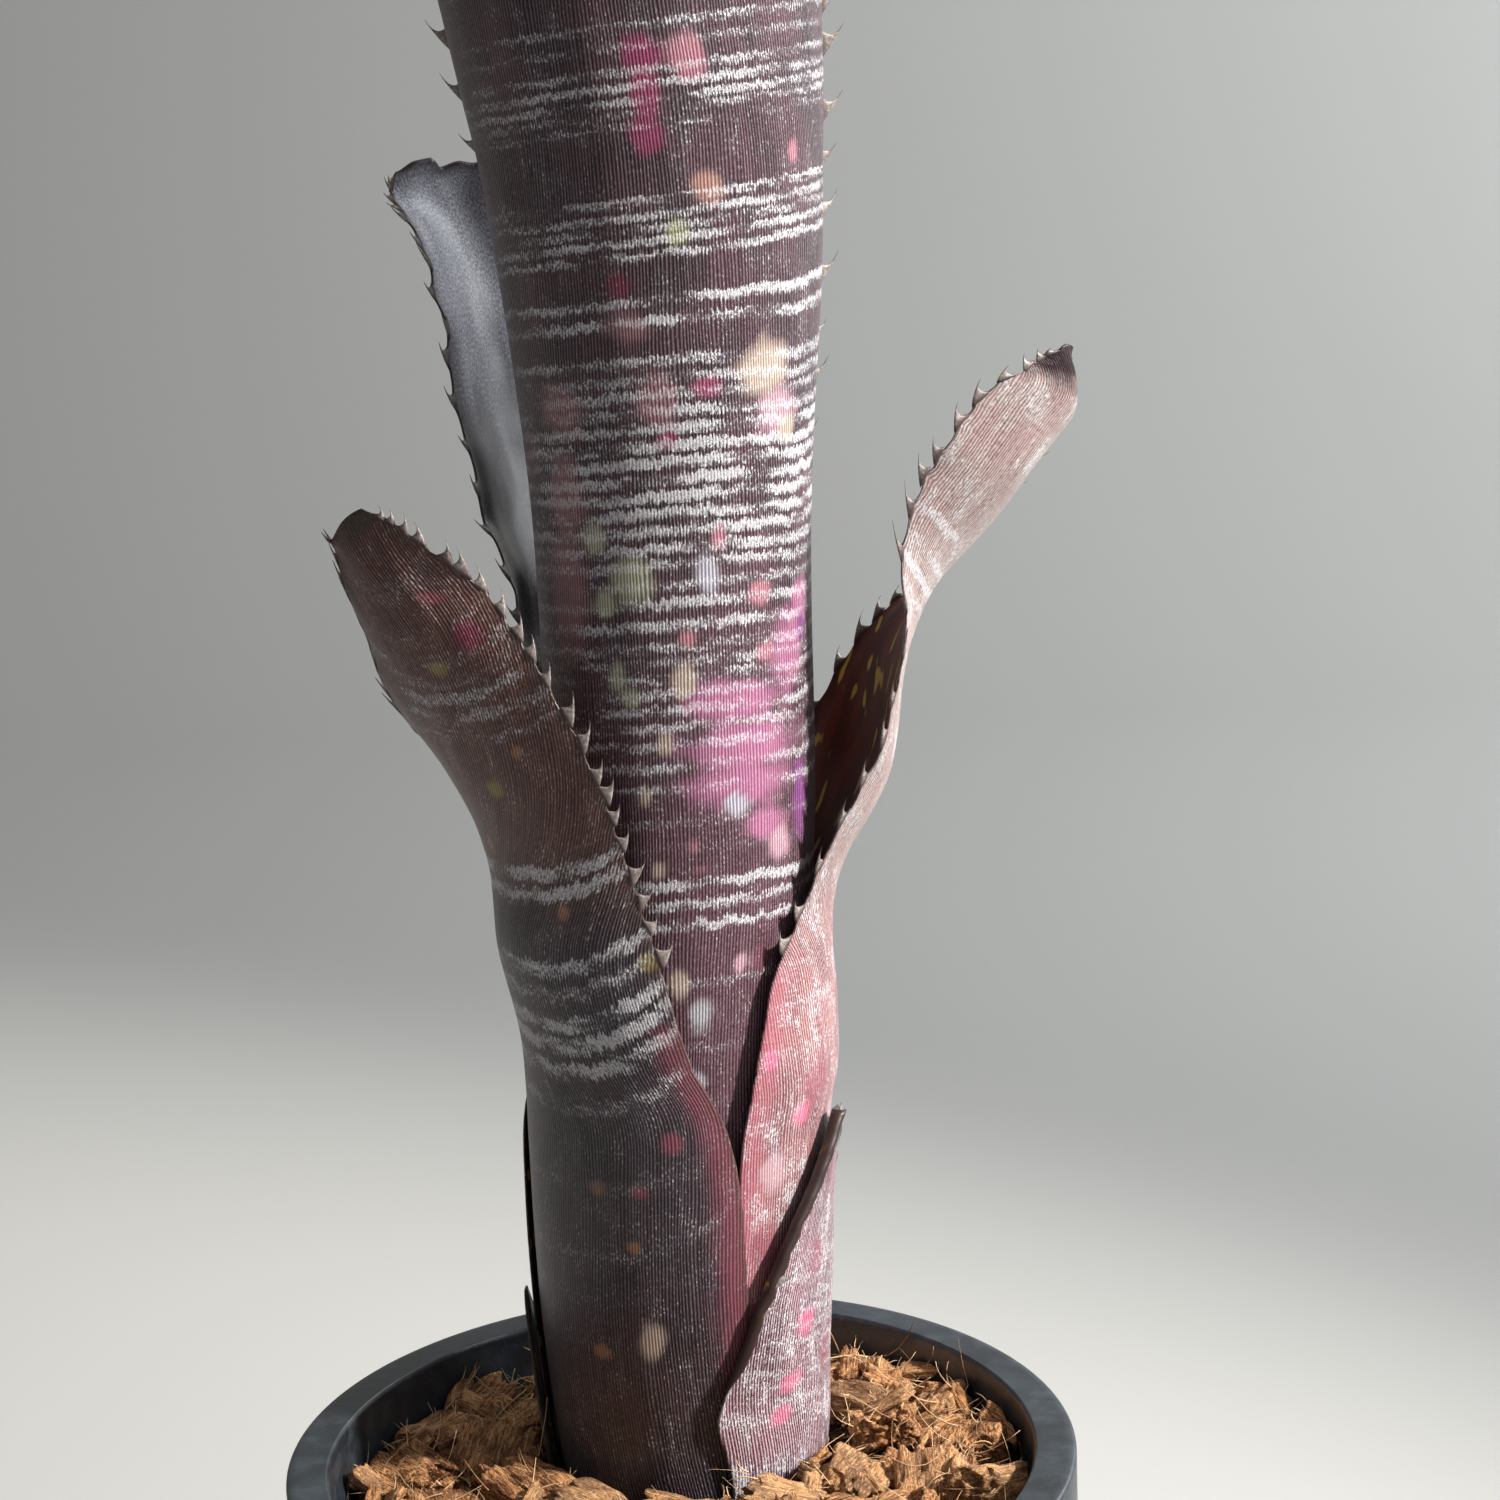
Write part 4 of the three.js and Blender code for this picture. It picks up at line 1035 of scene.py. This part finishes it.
def divided(profile, longest):
    """A profile with its long stretches cut into pieces."""
    made = [profile[0]]
    for (r0, z0), (r1, z1) in zip(profile, profile[1:]):
        parts = max(1, int(math.hypot(r1 - r0, z1 - z0) / longest))
        made += [(r0 + (r1 - r0) * i / parts, z0 + (z1 - z0) * i / parts)
                 for i in range(1, parts + 1)]
    return made


def drain_hole_mesh(segments=32):
    """One cutter that holds all the drainage holes."""
    points, sides, caps = [], [], []
    for turn in ring_angles(DRAIN_HOLES):
        x, y = DRAIN_CIRCLE * math.cos(turn), DRAIN_CIRCLE * math.sin(turn)
        start = len(points)
        for z in (-5, 10):
            points += [(x + DRAIN_RADIUS * math.cos(t), y + DRAIN_RADIUS * math.sin(t), z)
                       for t in ring_angles(segments)]
        sides.append(grid_faces(2, segments, start=start, closed=True))
        lower = np.arange(start, start + segments)
        caps.append(np.stack([lower[::-1], lower + segments]))
    return make_mesh("drain_holes", points, [(f, 0) for f in sides + caps], smooth=False)


def drilled(pot):
    """The pot's mesh with the drainage holes cut out of its floor."""
    cutter = add_object("drain_holes", drain_hole_mesh())
    cut = pot.modifiers.new("drain", "BOOLEAN")
    cut.object = cutter
    cut.operation = "DIFFERENCE"
    cut.solver = "EXACT"
    bpy.context.view_layer.update()
    graph = bpy.context.evaluated_depsgraph_get()
    mesh = bpy.data.meshes.new_from_object(pot.evaluated_get(graph))
    pot.modifiers.clear()
    bpy.data.objects.remove(cutter)
    return mesh


pot_profile = rounded([
    (0, 0), (POT_BASE_RADIUS - 0.6, 0), (WALL_TOP_RADIUS, SHOULDER), (POT_LIP_RADIUS, SHOULDER),
    (POT_LIP_RADIUS, POT_HEIGHT - 0.3), (POT_LIP_RADIUS - 1.3, POT_HEIGHT),
    (MOUTH_RADIUS + 0.9, POT_HEIGHT), (MOUTH_RADIUS + 0.5, POT_HEIGHT),
    (MOUTH_RADIUS, POT_HEIGHT - 0.8), (WALL_TOP_RADIUS - POT_WALL, SHOULDER - 2),
    (POT_BASE_RADIUS - POT_WALL, FLOOR), (0, FLOOR),
], radius=1.1)
pot_mesh = turned_mesh("pot", divided(pot_profile, 4), 192)
pot = add_piece("shown_pot", pot_mesh, [pot_material()], ["pot"])
pot.data = drilled(pot)


# --- husk
def husk_material(name, light, dark):
    """Fibrous coconut husk, straw to red-brown, with pale threads and dark pith."""
    s = Shader(name)
    place = s.attribute("husk_mm")
    fibre = s.noise(place, (0.22, 2.2, 2.2), 4, 0.7)
    fine = s.noise(place, (0.6, 5.5, 5.5), 2, 0.6)
    broad = s.noise(place, (0.13, 0.20, 0.20), 3)
    pith = s.noise(place, (0.9, 1.3, 1.3), 3, 0.65)
    colour = s.mix(s.step(0.36, 0.62, broad), dark, light)
    colour = s.mix(s.step(0.50, 0.66, fibre) * 0.75, colour, (0.80, 0.49, 0.24))
    colour = s.mix(s.step(0.50, 0.36, fibre) * 0.95, colour, shaded(dark, 0.18))
    colour = s.mix(s.step(0.50, 0.36, fine) * 0.5, colour, shaded(dark, 0.4))
    colour = s.mix(s.step(0.47, 0.33, pith) * 0.8, colour, shaded(dark, 0.25))
    colour = s.mix(s.attribute("pale", "Fac"), colour, (0.66, 0.47, 0.27))
    s.bump(fibre + pith * 0.8 + fine * 0.4, 0.9, 1.0)
    return s.finish(colour, 0.85, specular=0.2)


HUSK = husk_material("husk", (0.60, 0.28, 0.115), (0.17, 0.052, 0.018))
# The bed's dark husk is painted shade: it shows in the gaps between the chips.
HUSK_GAP_SHADE = husk_material("husk_gap_shade", (0.07, 0.032, 0.018), (0.025, 0.012, 0.008))


def reach_to(radius, bearing):
    """Distance from the plant's centre line to a circle about the pot's centre."""
    dx, dy = np.sin(bearing * RAD), -np.cos(bearing * RAD)
    along = PLANT_X * dx + PLANT_Y * dy
    return -along + np.sqrt(along**2 - (PLANT_X**2 + PLANT_Y**2) + radius**2)


def around_plant(radius, bearing):
    return PLANT_X + radius * np.sin(bearing * RAD), PLANT_Y - radius * np.cos(bearing * RAD)


def bed_top(x, y):
    across, deep = x / MOUTH_RADIUS, y / MOUTH_RADIUS
    mound = 2.6 * across + 1.6 * deep * np.maximum(across, -0.4)
    lumps = 0.5 * np.sin(x / 6.1 + 1) * np.cos(y / 5.7) + 0.3 * np.sin((x + y) / 7.3)
    return BED_TOP + mound + lumps


def base_radius(h):
    """Radius of the plant's base with every layer on it."""
    return float(layer_radius(OUTER_LAYER, h))


def pot_inside(z):
    low = POT_BASE_RADIUS - POT_WALL
    share = (z - FLOOR) / (SHOULDER - 2 - FLOOR)
    return low + share * (WALL_TOP_RADIUS - POT_WALL - low)


def cube_sheet(n):
    """Points of a cube's surface from -1 to 1, and its quads, with shared edges."""
    line = np.linspace(-1, 1, n + 1)
    points, quads, known = [], [], {}

    def number(p):
        key = tuple(np.round(p, 5))
        if key not in known:
            known[key] = len(points)
            points.append(key)
        return known[key]

    for axis in range(3):
        for sign in (-1, 1):
            a, b = (axis + 1) % 3, (axis + 2) % 3
            ids = np.empty((n + 1, n + 1), int)
            for i in range(n + 1):
                for j in range(n + 1):
                    p = [0.0, 0.0, 0.0]
                    p[axis], p[a], p[b] = sign, line[i], line[j]
                    ids[i, j] = number(p)
            for i in range(n):
                for j in range(n):
                    quad = [ids[i, j], ids[i + 1, j], ids[i + 1, j + 1], ids[i, j + 1]]
                    quads.append(quad if sign > 0 else quad[::-1])
    return np.array(points), np.array(quads)


COARSE, FINE = 7, 24
CUBES = {n: cube_sheet(n) for n in (COARSE, FINE)}


def turn_matrix(rng, yaw, tilt):
    yaw_turn = Matrix.Rotation(yaw, 3, "Z")
    lean = Matrix.Rotation(rng.uniform(-tilt, tilt), 3, "X")
    rock = Matrix.Rotation(rng.uniform(-tilt, tilt), 3, "Y")
    return np.array(yaw_turn @ lean @ rock)


def chunk(rng, n, half, centre, turn):
    """A torn block of husk with strands along its length: points, quads and own place."""
    cube, quads = CUBES[n]
    body = cube * ((np.abs(cube) ** 6.0).sum(1) ** (-1 / 6.0))[:, None]
    seed = rng.uniform(0, 900)
    lean = rng.uniform(-1, 1, 4)
    taper = 1 + 0.28 * lean[0] * body[:, 0] + 0.22 * lean[1] * body[:, 1]
    body = body * np.stack([1 + 0.25 * lean[2] * body[:, 1], taper, taper], 1)
    shape = body * np.array(half)
    x, y, z = shape.T
    split = rough_noise(x / 6 + seed, y / 3.2, z / 3.2, 2)
    strands = noise(x / 8 + seed, y / 1.1, z / 1.1) + 0.7 * noise(x / 5, y / 0.6 + seed, z / 0.6)
    amount = 0.30 * min(half) * split + 0.24 * strands
    shape = shape + unit(body * np.array([0.5, 1, 1])) * amount[:, None]
    torn_ends = smooth_step(0.62, 1.0, np.abs(body[:, 0]))
    fray = torn_ends * (noise(y / 0.8 + seed, z / 0.8) * 0.28 - 0.08) * half[0]
    shape[:, 0] += np.sign(body[:, 0]) * fray
    shape[:, 2] += lean[3] * 0.9 * (x / half[0]) ** 2
    return shape @ turn.T + centre, quads, shape + seed


def strand(rng, start, heading, length, thick, curl, joints=7):
    """A thin curved fibre with three sides: points, side quads and end triangles."""
    points = []
    position = np.array(start, float)
    heading = unit(np.array(heading, float))
    bend = unit(rng.normal(size=3)) * curl
    for i in range(joints):
        side = unit(np.cross(heading, [0.13, 0.31, 0.94]))
        up = np.cross(heading, side)
        radius = thick * (1 - 0.6 * i / (joints - 1))
        for angle in ring_angles(3):
            points.append(position + radius * (side * math.cos(angle) + up * math.sin(angle)))
        position = position + heading * length / (joints - 1)
        heading = unit(heading + bend / (joints - 1))
        bend = bend + rng.normal(size=3) * curl * 0.25
    last = 3 * joints - 3
    return np.array(points), grid_faces(joints, 3, closed=True), np.array([
        [0, 2, 1], [last, last + 1, last + 2],
    ])


def keep_off_plant(points, clear):
    off_x, off_y = points[:, 0] - PLANT_X, points[:, 1] - PLANT_Y
    away = np.maximum(1, clear / np.maximum(np.hypot(off_x, off_y), 1e-6))
    points[:, 0], points[:, 1] = PLANT_X + off_x * away, PLANT_Y + off_y * away


def keep_in_mouth(points, margin):
    distance = np.maximum(np.hypot(points[:, 0], points[:, 1]), 1e-6)
    points[:, :2] *= np.minimum(1, (MOUTH_RADIUS - margin) / distance)[:, None]


class Pile:
    """Collects many small bodies into one mesh."""

    def __init__(self):
        self.points, self.faces, self.place, self.pale = [], [], [], []
        self.count = 0

    def add(self, points, faces, place, pale, material=0):
        self.points.append(points)
        self.faces += [(f + self.count, material) for f in faces]
        self.place.append(place)
        self.pale.append(np.full(len(points), pale))
        self.count += len(points)

    def add_fibre(self, rng, fibre, pale, material=0):
        points, quads, ends = fibre
        place = points * 0 + rng.uniform(0, 90)
        self.add(points, [quads, ends], place, rng.uniform(*pale), material)

    def mesh(self, name):
        mesh = make_mesh(name, np.concatenate(self.points), self.faces)
        add_values(mesh, "husk_mm", "FLOAT_VECTOR", np.concatenate(self.place))
        add_values(mesh, "pale", "FLOAT", np.concatenate(self.pale))
        return mesh


def fray_block(pile, rng, half, centre, turn, threads):
    """Loose threads that leave a block at its two torn ends and along its top."""
    for k in range(threads):
        end = 1 if k % 2 else -1
        y, z = rng.uniform(-0.9, 0.9) * half[1], rng.uniform(-0.3, 0.95) * half[2]
        x = end * half[0] * rng.uniform(0.35, 0.95)
        heading = turn @ (np.array([end, 0, 0.12]) + 0.30 * rng.normal(size=3))
        start = turn @ np.array([x, y, z]) + centre
        length = rng.uniform(2.0, 0.9 * half[0] + 4)
        fibre = strand(rng, start, heading, length, rng.uniform(0.07, 0.19), 0.8)
        keep_in_mouth(fibre[0], 2.0)
        pile.add_fibre(rng, fibre, (0.25, 0.95))


def build_chip(name, seed, bearing, spread, reach):
    """A husk chip that fills its share of the ring, with four crumbs and loose threads."""
    rng = np.random.default_rng(seed)
    near, far = reach
    inner_edge = base_radius(8) + 0.4
    span = float(reach_to(RIM_INSIDE, bearing)) - inner_edge
    centre_r = inner_edge + span * (near + far) / 2
    x, y = (float(value) for value in around_plant(centre_r, bearing))
    half = [centre_r * spread * RAD * 0.47, span * (far - near) * 0.45,
            9 * rng.uniform(0.34, 0.52)]
    yaw = bearing * RAD + rng.uniform(-0.5, 0.5)
    if half[1] > half[0] * 1.1:
        half[0], half[1] = half[1], half[0]
        yaw += math.pi / 2
    centre = np.array([x, y, float(bed_top(x, y)) + rng.uniform(3.4, 6.0)])
    blocks = [(half, centre, turn_matrix(rng, yaw, 0.38), FINE)]
    for _ in range(4):
        small = [rng.uniform(2.2, 5.0), rng.uniform(1.2, 2.2), rng.uniform(0.7, 1.5)]
        angle = rng.uniform(0, 2 * math.pi)
        off = [math.cos(angle) * half[0], math.sin(angle) * half[1], rng.uniform(-0.5, 4.2)]
        twist = turn_matrix(rng, rng.uniform(0, 2 * math.pi), 0.8)
        blocks.append((small, centre + off, twist, COARSE))
    pile = Pile()
    for size, middle, turn, detail in blocks:
        points, quads, own = chunk(rng, detail, size, middle, turn)
        pile.add(points, [quads], own, rng.uniform(0, 0.25))
        fray_block(pile, rng, size, middle, turn, 16 if detail == FINE else 6)
    for points in pile.points:
        keep_off_plant(points, base_radius(8) + 0.5)
        keep_in_mouth(points, 1.2)
    add_piece("shown_" + name, pile.mesh(name), [HUSK], [name])


# Chips lie in sectors: (from bearing, to bearing, from share, to share of the reach, count).
CHIP_SECTORS = [
    (-70, 70, 0.02, 0.34, 5), (-70, 70, 0.34, 0.67, 7), (-70, 70, 0.67, 0.99, 9),
    (70, 125, 0.03, 0.5, 2), (70, 125, 0.5, 0.98, 3), (-125, -70, 0.03, 0.5, 2),
    (-125, -70, 0.5, 0.98, 3), (125, 235, 0.06, 0.94, 5),
]
chips = 0
for low, high, near, far, count in CHIP_SECTORS:
    spread = (high - low) / count
    for k in range(count):
        chips += 1
        bearing = low + spread * (k + 0.5)
        build_chip("husk_chip_%02d" % chips, 500 + chips, bearing, spread, (near, far))


def bed_body(segments=160, top_rings=33):
    """The bed: a lumpy body, dark as painted shade between the chips, with a socket for the
    plant's base.
    """
    bearings = np.linspace(0, 360, segments, endpoint=False)

    def ring(radii, z):
        x, y = around_plant(radii, bearings)
        return np.stack([x, y, np.broadcast_to(z, x.shape)], 1)

    neck = LEVEL - 26
    rings = [ring(np.full(segments, 0.75 * base_radius(-22)), neck)]
    for h in (-22, -12):
        rings.append(ring(np.full(segments, base_radius(h) + SOCKET_GAP), LEVEL + h))
    inside = base_radius(BED_TOP - LEVEL) + SOCKET_GAP
    outside = reach_to(RIM_INSIDE - 0.8, bearings)
    for i in range(top_rings):
        made = ring(inside + (outside - inside) * i / (top_rings - 1), 0.0)
        made[:, 2] = bed_top(made[:, 0], made[:, 1]) - 0.4
        made[:, 2] += 0.9 * rough_noise(made[:, 0] / 4, made[:, 1] / 4, 3.3)
        rings.append(made)
    bottom = FLOOR + 0.4
    for z in (BED_TOP - 10, POT_HEIGHT * 0.45, bottom):
        rings.append(ring(reach_to(pot_inside(z) - 0.4, bearings), z))
    ends = [[(PLANT_X, PLANT_Y, neck)], [(PLANT_X, PLANT_Y, bottom)]]
    return np.concatenate([ends[0], *rings, ends[1]]), capped_faces(len(rings), segments)


def scattered(rng, tries, inner_gap, rim_gap):
    """Random places on the bed, evenly spread: their number, x and y."""
    for k in range(tries):
        bearing = rng.uniform(-180, 180)
        inside = base_radius(0) + SOCKET_GAP + inner_gap
        outside = float(reach_to(RIM_INSIDE - rim_gap, bearing))
        if outside >= inside:
            r = math.sqrt(rng.uniform(inside**2, outside**2))
            x, y = around_plant(r, bearing)
            yield k, float(x), float(y)


rng = np.random.default_rng(77)
bed = Pile()
body, body_faces = bed_body()
bed.add(body, body_faces, body, 0.0)
for _, x, y in scattered(rng, CRUMBS, 3.5, 4):
    half = [rng.uniform(2.2, 4.6), rng.uniform(1.4, 2.8), rng.uniform(1.2, 2.2)]
    z = float(bed_top(x, y)) + rng.uniform(-0.5, 3.4)
    turn = turn_matrix(rng, rng.uniform(0, 6.28), 0.7)
    points, quads, own = chunk(rng, COARSE, half, np.array([x, y, z]), turn)
    bed.add(points, [quads], own, 0.0, material=1)
for k, x, y in scattered(rng, SHORT_THREADS + LONG_THREADS, 1.5, 3):
    is_long = k >= SHORT_THREADS
    z = float(bed_top(x, y)) + rng.uniform(7 if is_long else 3, 9)
    angle = rng.uniform(0, 6.28)
    heading = [math.cos(angle), math.sin(angle), rng.uniform(-0.3, 0.35)]
    length = rng.uniform(*((18, 30) if is_long else (6, 20)))
    thick = rng.uniform(*((0.24, 0.36) if is_long else (0.09, 0.2)))
    fibre = strand(rng, [x, y, z], heading, length, thick, 1.5)
    keep_off_plant(fibre[0], base_radius(6) + SOCKET_GAP + 0.6)
    keep_in_mouth(fibre[0], 1.5)
    bed.add_fibre(rng, fibre, (0.3, 1.0), material=1)
add_piece("shown_husk_bed", bed.mesh("husk_bed"), [HUSK_GAP_SHADE, HUSK], ["husk_bed"])


# --- stem
def bark_material():
    s = Shader("stem_bark")
    fine = s.noise(s.object_mm(), (0.8, 0.8, 2.0), 4)
    colour = s.mix(s.step(0.35, 0.65, fine), (0.09, 0.055, 0.035), (0.26, 0.19, 0.12))
    s.bump(fine, 0.4, 0.7)
    return s.finish(colour, 0.85, specular=0.2)


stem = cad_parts["stem"]
stem.data.materials.clear()
stem.data.materials.append(bark_material())


# --- stage, light and camera
def stage_material():
    s = Shader("pale_paper")
    s.bump(s.noise(s.object_mm(), detail=3, scale=0.4), 0.05, 0.2)
    return s.finish((0.43, 0.43, 0.42), 0.9, specular=0.15)


def sweep_profile(front=-2600, bend_start=1300, bend=900, top=2600, steps=24):
    """A floor that bends up into a wall behind the plant, as (y, z)."""
    curve = []
    for i in range(steps + 1):
        t = i / steps * math.pi / 2
        curve.append((bend_start + bend * math.sin(t), bend - bend * math.cos(t)))
    return [(front, 0), (0, 0), (bend, 0), *curve, (bend_start + bend, top)]


profile = sweep_profile()
stage_points = np.array([(x, y, z) for y, z in profile for x in (-3200, 0, 3200)], float)
stage_mesh = make_mesh("floor", stage_points, [(grid_faces(len(profile), 3), 0)])
stage_mesh.materials.append(stage_material())
add_object("floor", stage_mesh)


def add_light(name, kind, place, aim, power, colour, **settings):
    data = bpy.data.lights.new(name, kind)
    data.energy, data.color = power, colour
    for key, value in settings.items():
        setattr(data, key, value)
    lamp = add_object(name, data)
    lamp.location = place
    lamp.rotation_euler = (Vector(aim) - Vector(place)).to_track_quat("-Z", "Y").to_euler()


def soft_light(name, place, aim, size, power, colour):
    add_light(name, "AREA", place, aim, power, colour, shape="DISK", size=size)


add_light(
    "key", "SPOT", (1.24, -0.44, 1.15), (0, 0, 0.25), 250, (1.0, 0.965, 0.91),
    spot_size=38 * RAD, spot_blend=0.8, shadow_soft_size=0.06,
)
soft_light("soft_front", (0.5, -1.6, 1.0), (0, 0, 0.25), 1.2, 3.0, (0.95, 0.97, 1.0))
soft_light("back_right", (0.9, 0.9, 0.9), (0, 0, 0.3), 0.5, 4.0, (0.92, 0.96, 1.0))
soft_light("wall", (2.3, 0.3, 1.5), (1.6, 2.0, 0.9), 1.2, 98, (0.95, 0.98, 1.0))

# A studio that is a little brighter towards the right.
world = bpy.data.worlds.new("studio")
world.use_nodes = True
tree = world.node_tree
where = tree.nodes.new("ShaderNodeTexCoord")
axes = tree.nodes.new("ShaderNodeSeparateXYZ")
shade = tree.nodes.new("ShaderNodeMapRange")
shade.inputs["From Min"].default_value = -1
shade.inputs["To Min"].default_value = 0.205
shade.inputs["To Max"].default_value = 0.46
tree.links.new(where.outputs["Generated"], axes.inputs[0])
tree.links.new(axes.outputs[0], shade.inputs["Value"])
tree.nodes["Background"].inputs[0].default_value = (0.84, 0.82, 0.78, 1)
tree.links.new(shade.outputs["Result"], tree.nodes["Background"].inputs[1])
bpy.context.scene.world = world

camera_data = bpy.data.cameras.new("camera")
camera_data.sensor_width = 36
camera_data.lens = 72
camera_data.clip_start = 0.01
camera = add_object("camera", camera_data)
pitch, roll = 12.14 * RAD, 2.17 * RAD
forward = Vector((0, math.cos(pitch), -math.sin(pitch)))
level_right = Vector((1, 0, 0))
level_up = Vector((0, math.sin(pitch), math.cos(pitch)))
right = math.cos(roll) * level_right - math.sin(roll) * level_up
up = math.sin(roll) * level_right + math.cos(roll) * level_up
turn = Matrix((right, up, -forward)).transposed()
camera.matrix_world = Matrix.Translation((0.018, -0.5326, 0.3794)) @ turn.to_4x4()
bpy.context.scene.camera = camera
bpy.context.scene.view_settings.view_transform = "Standard"
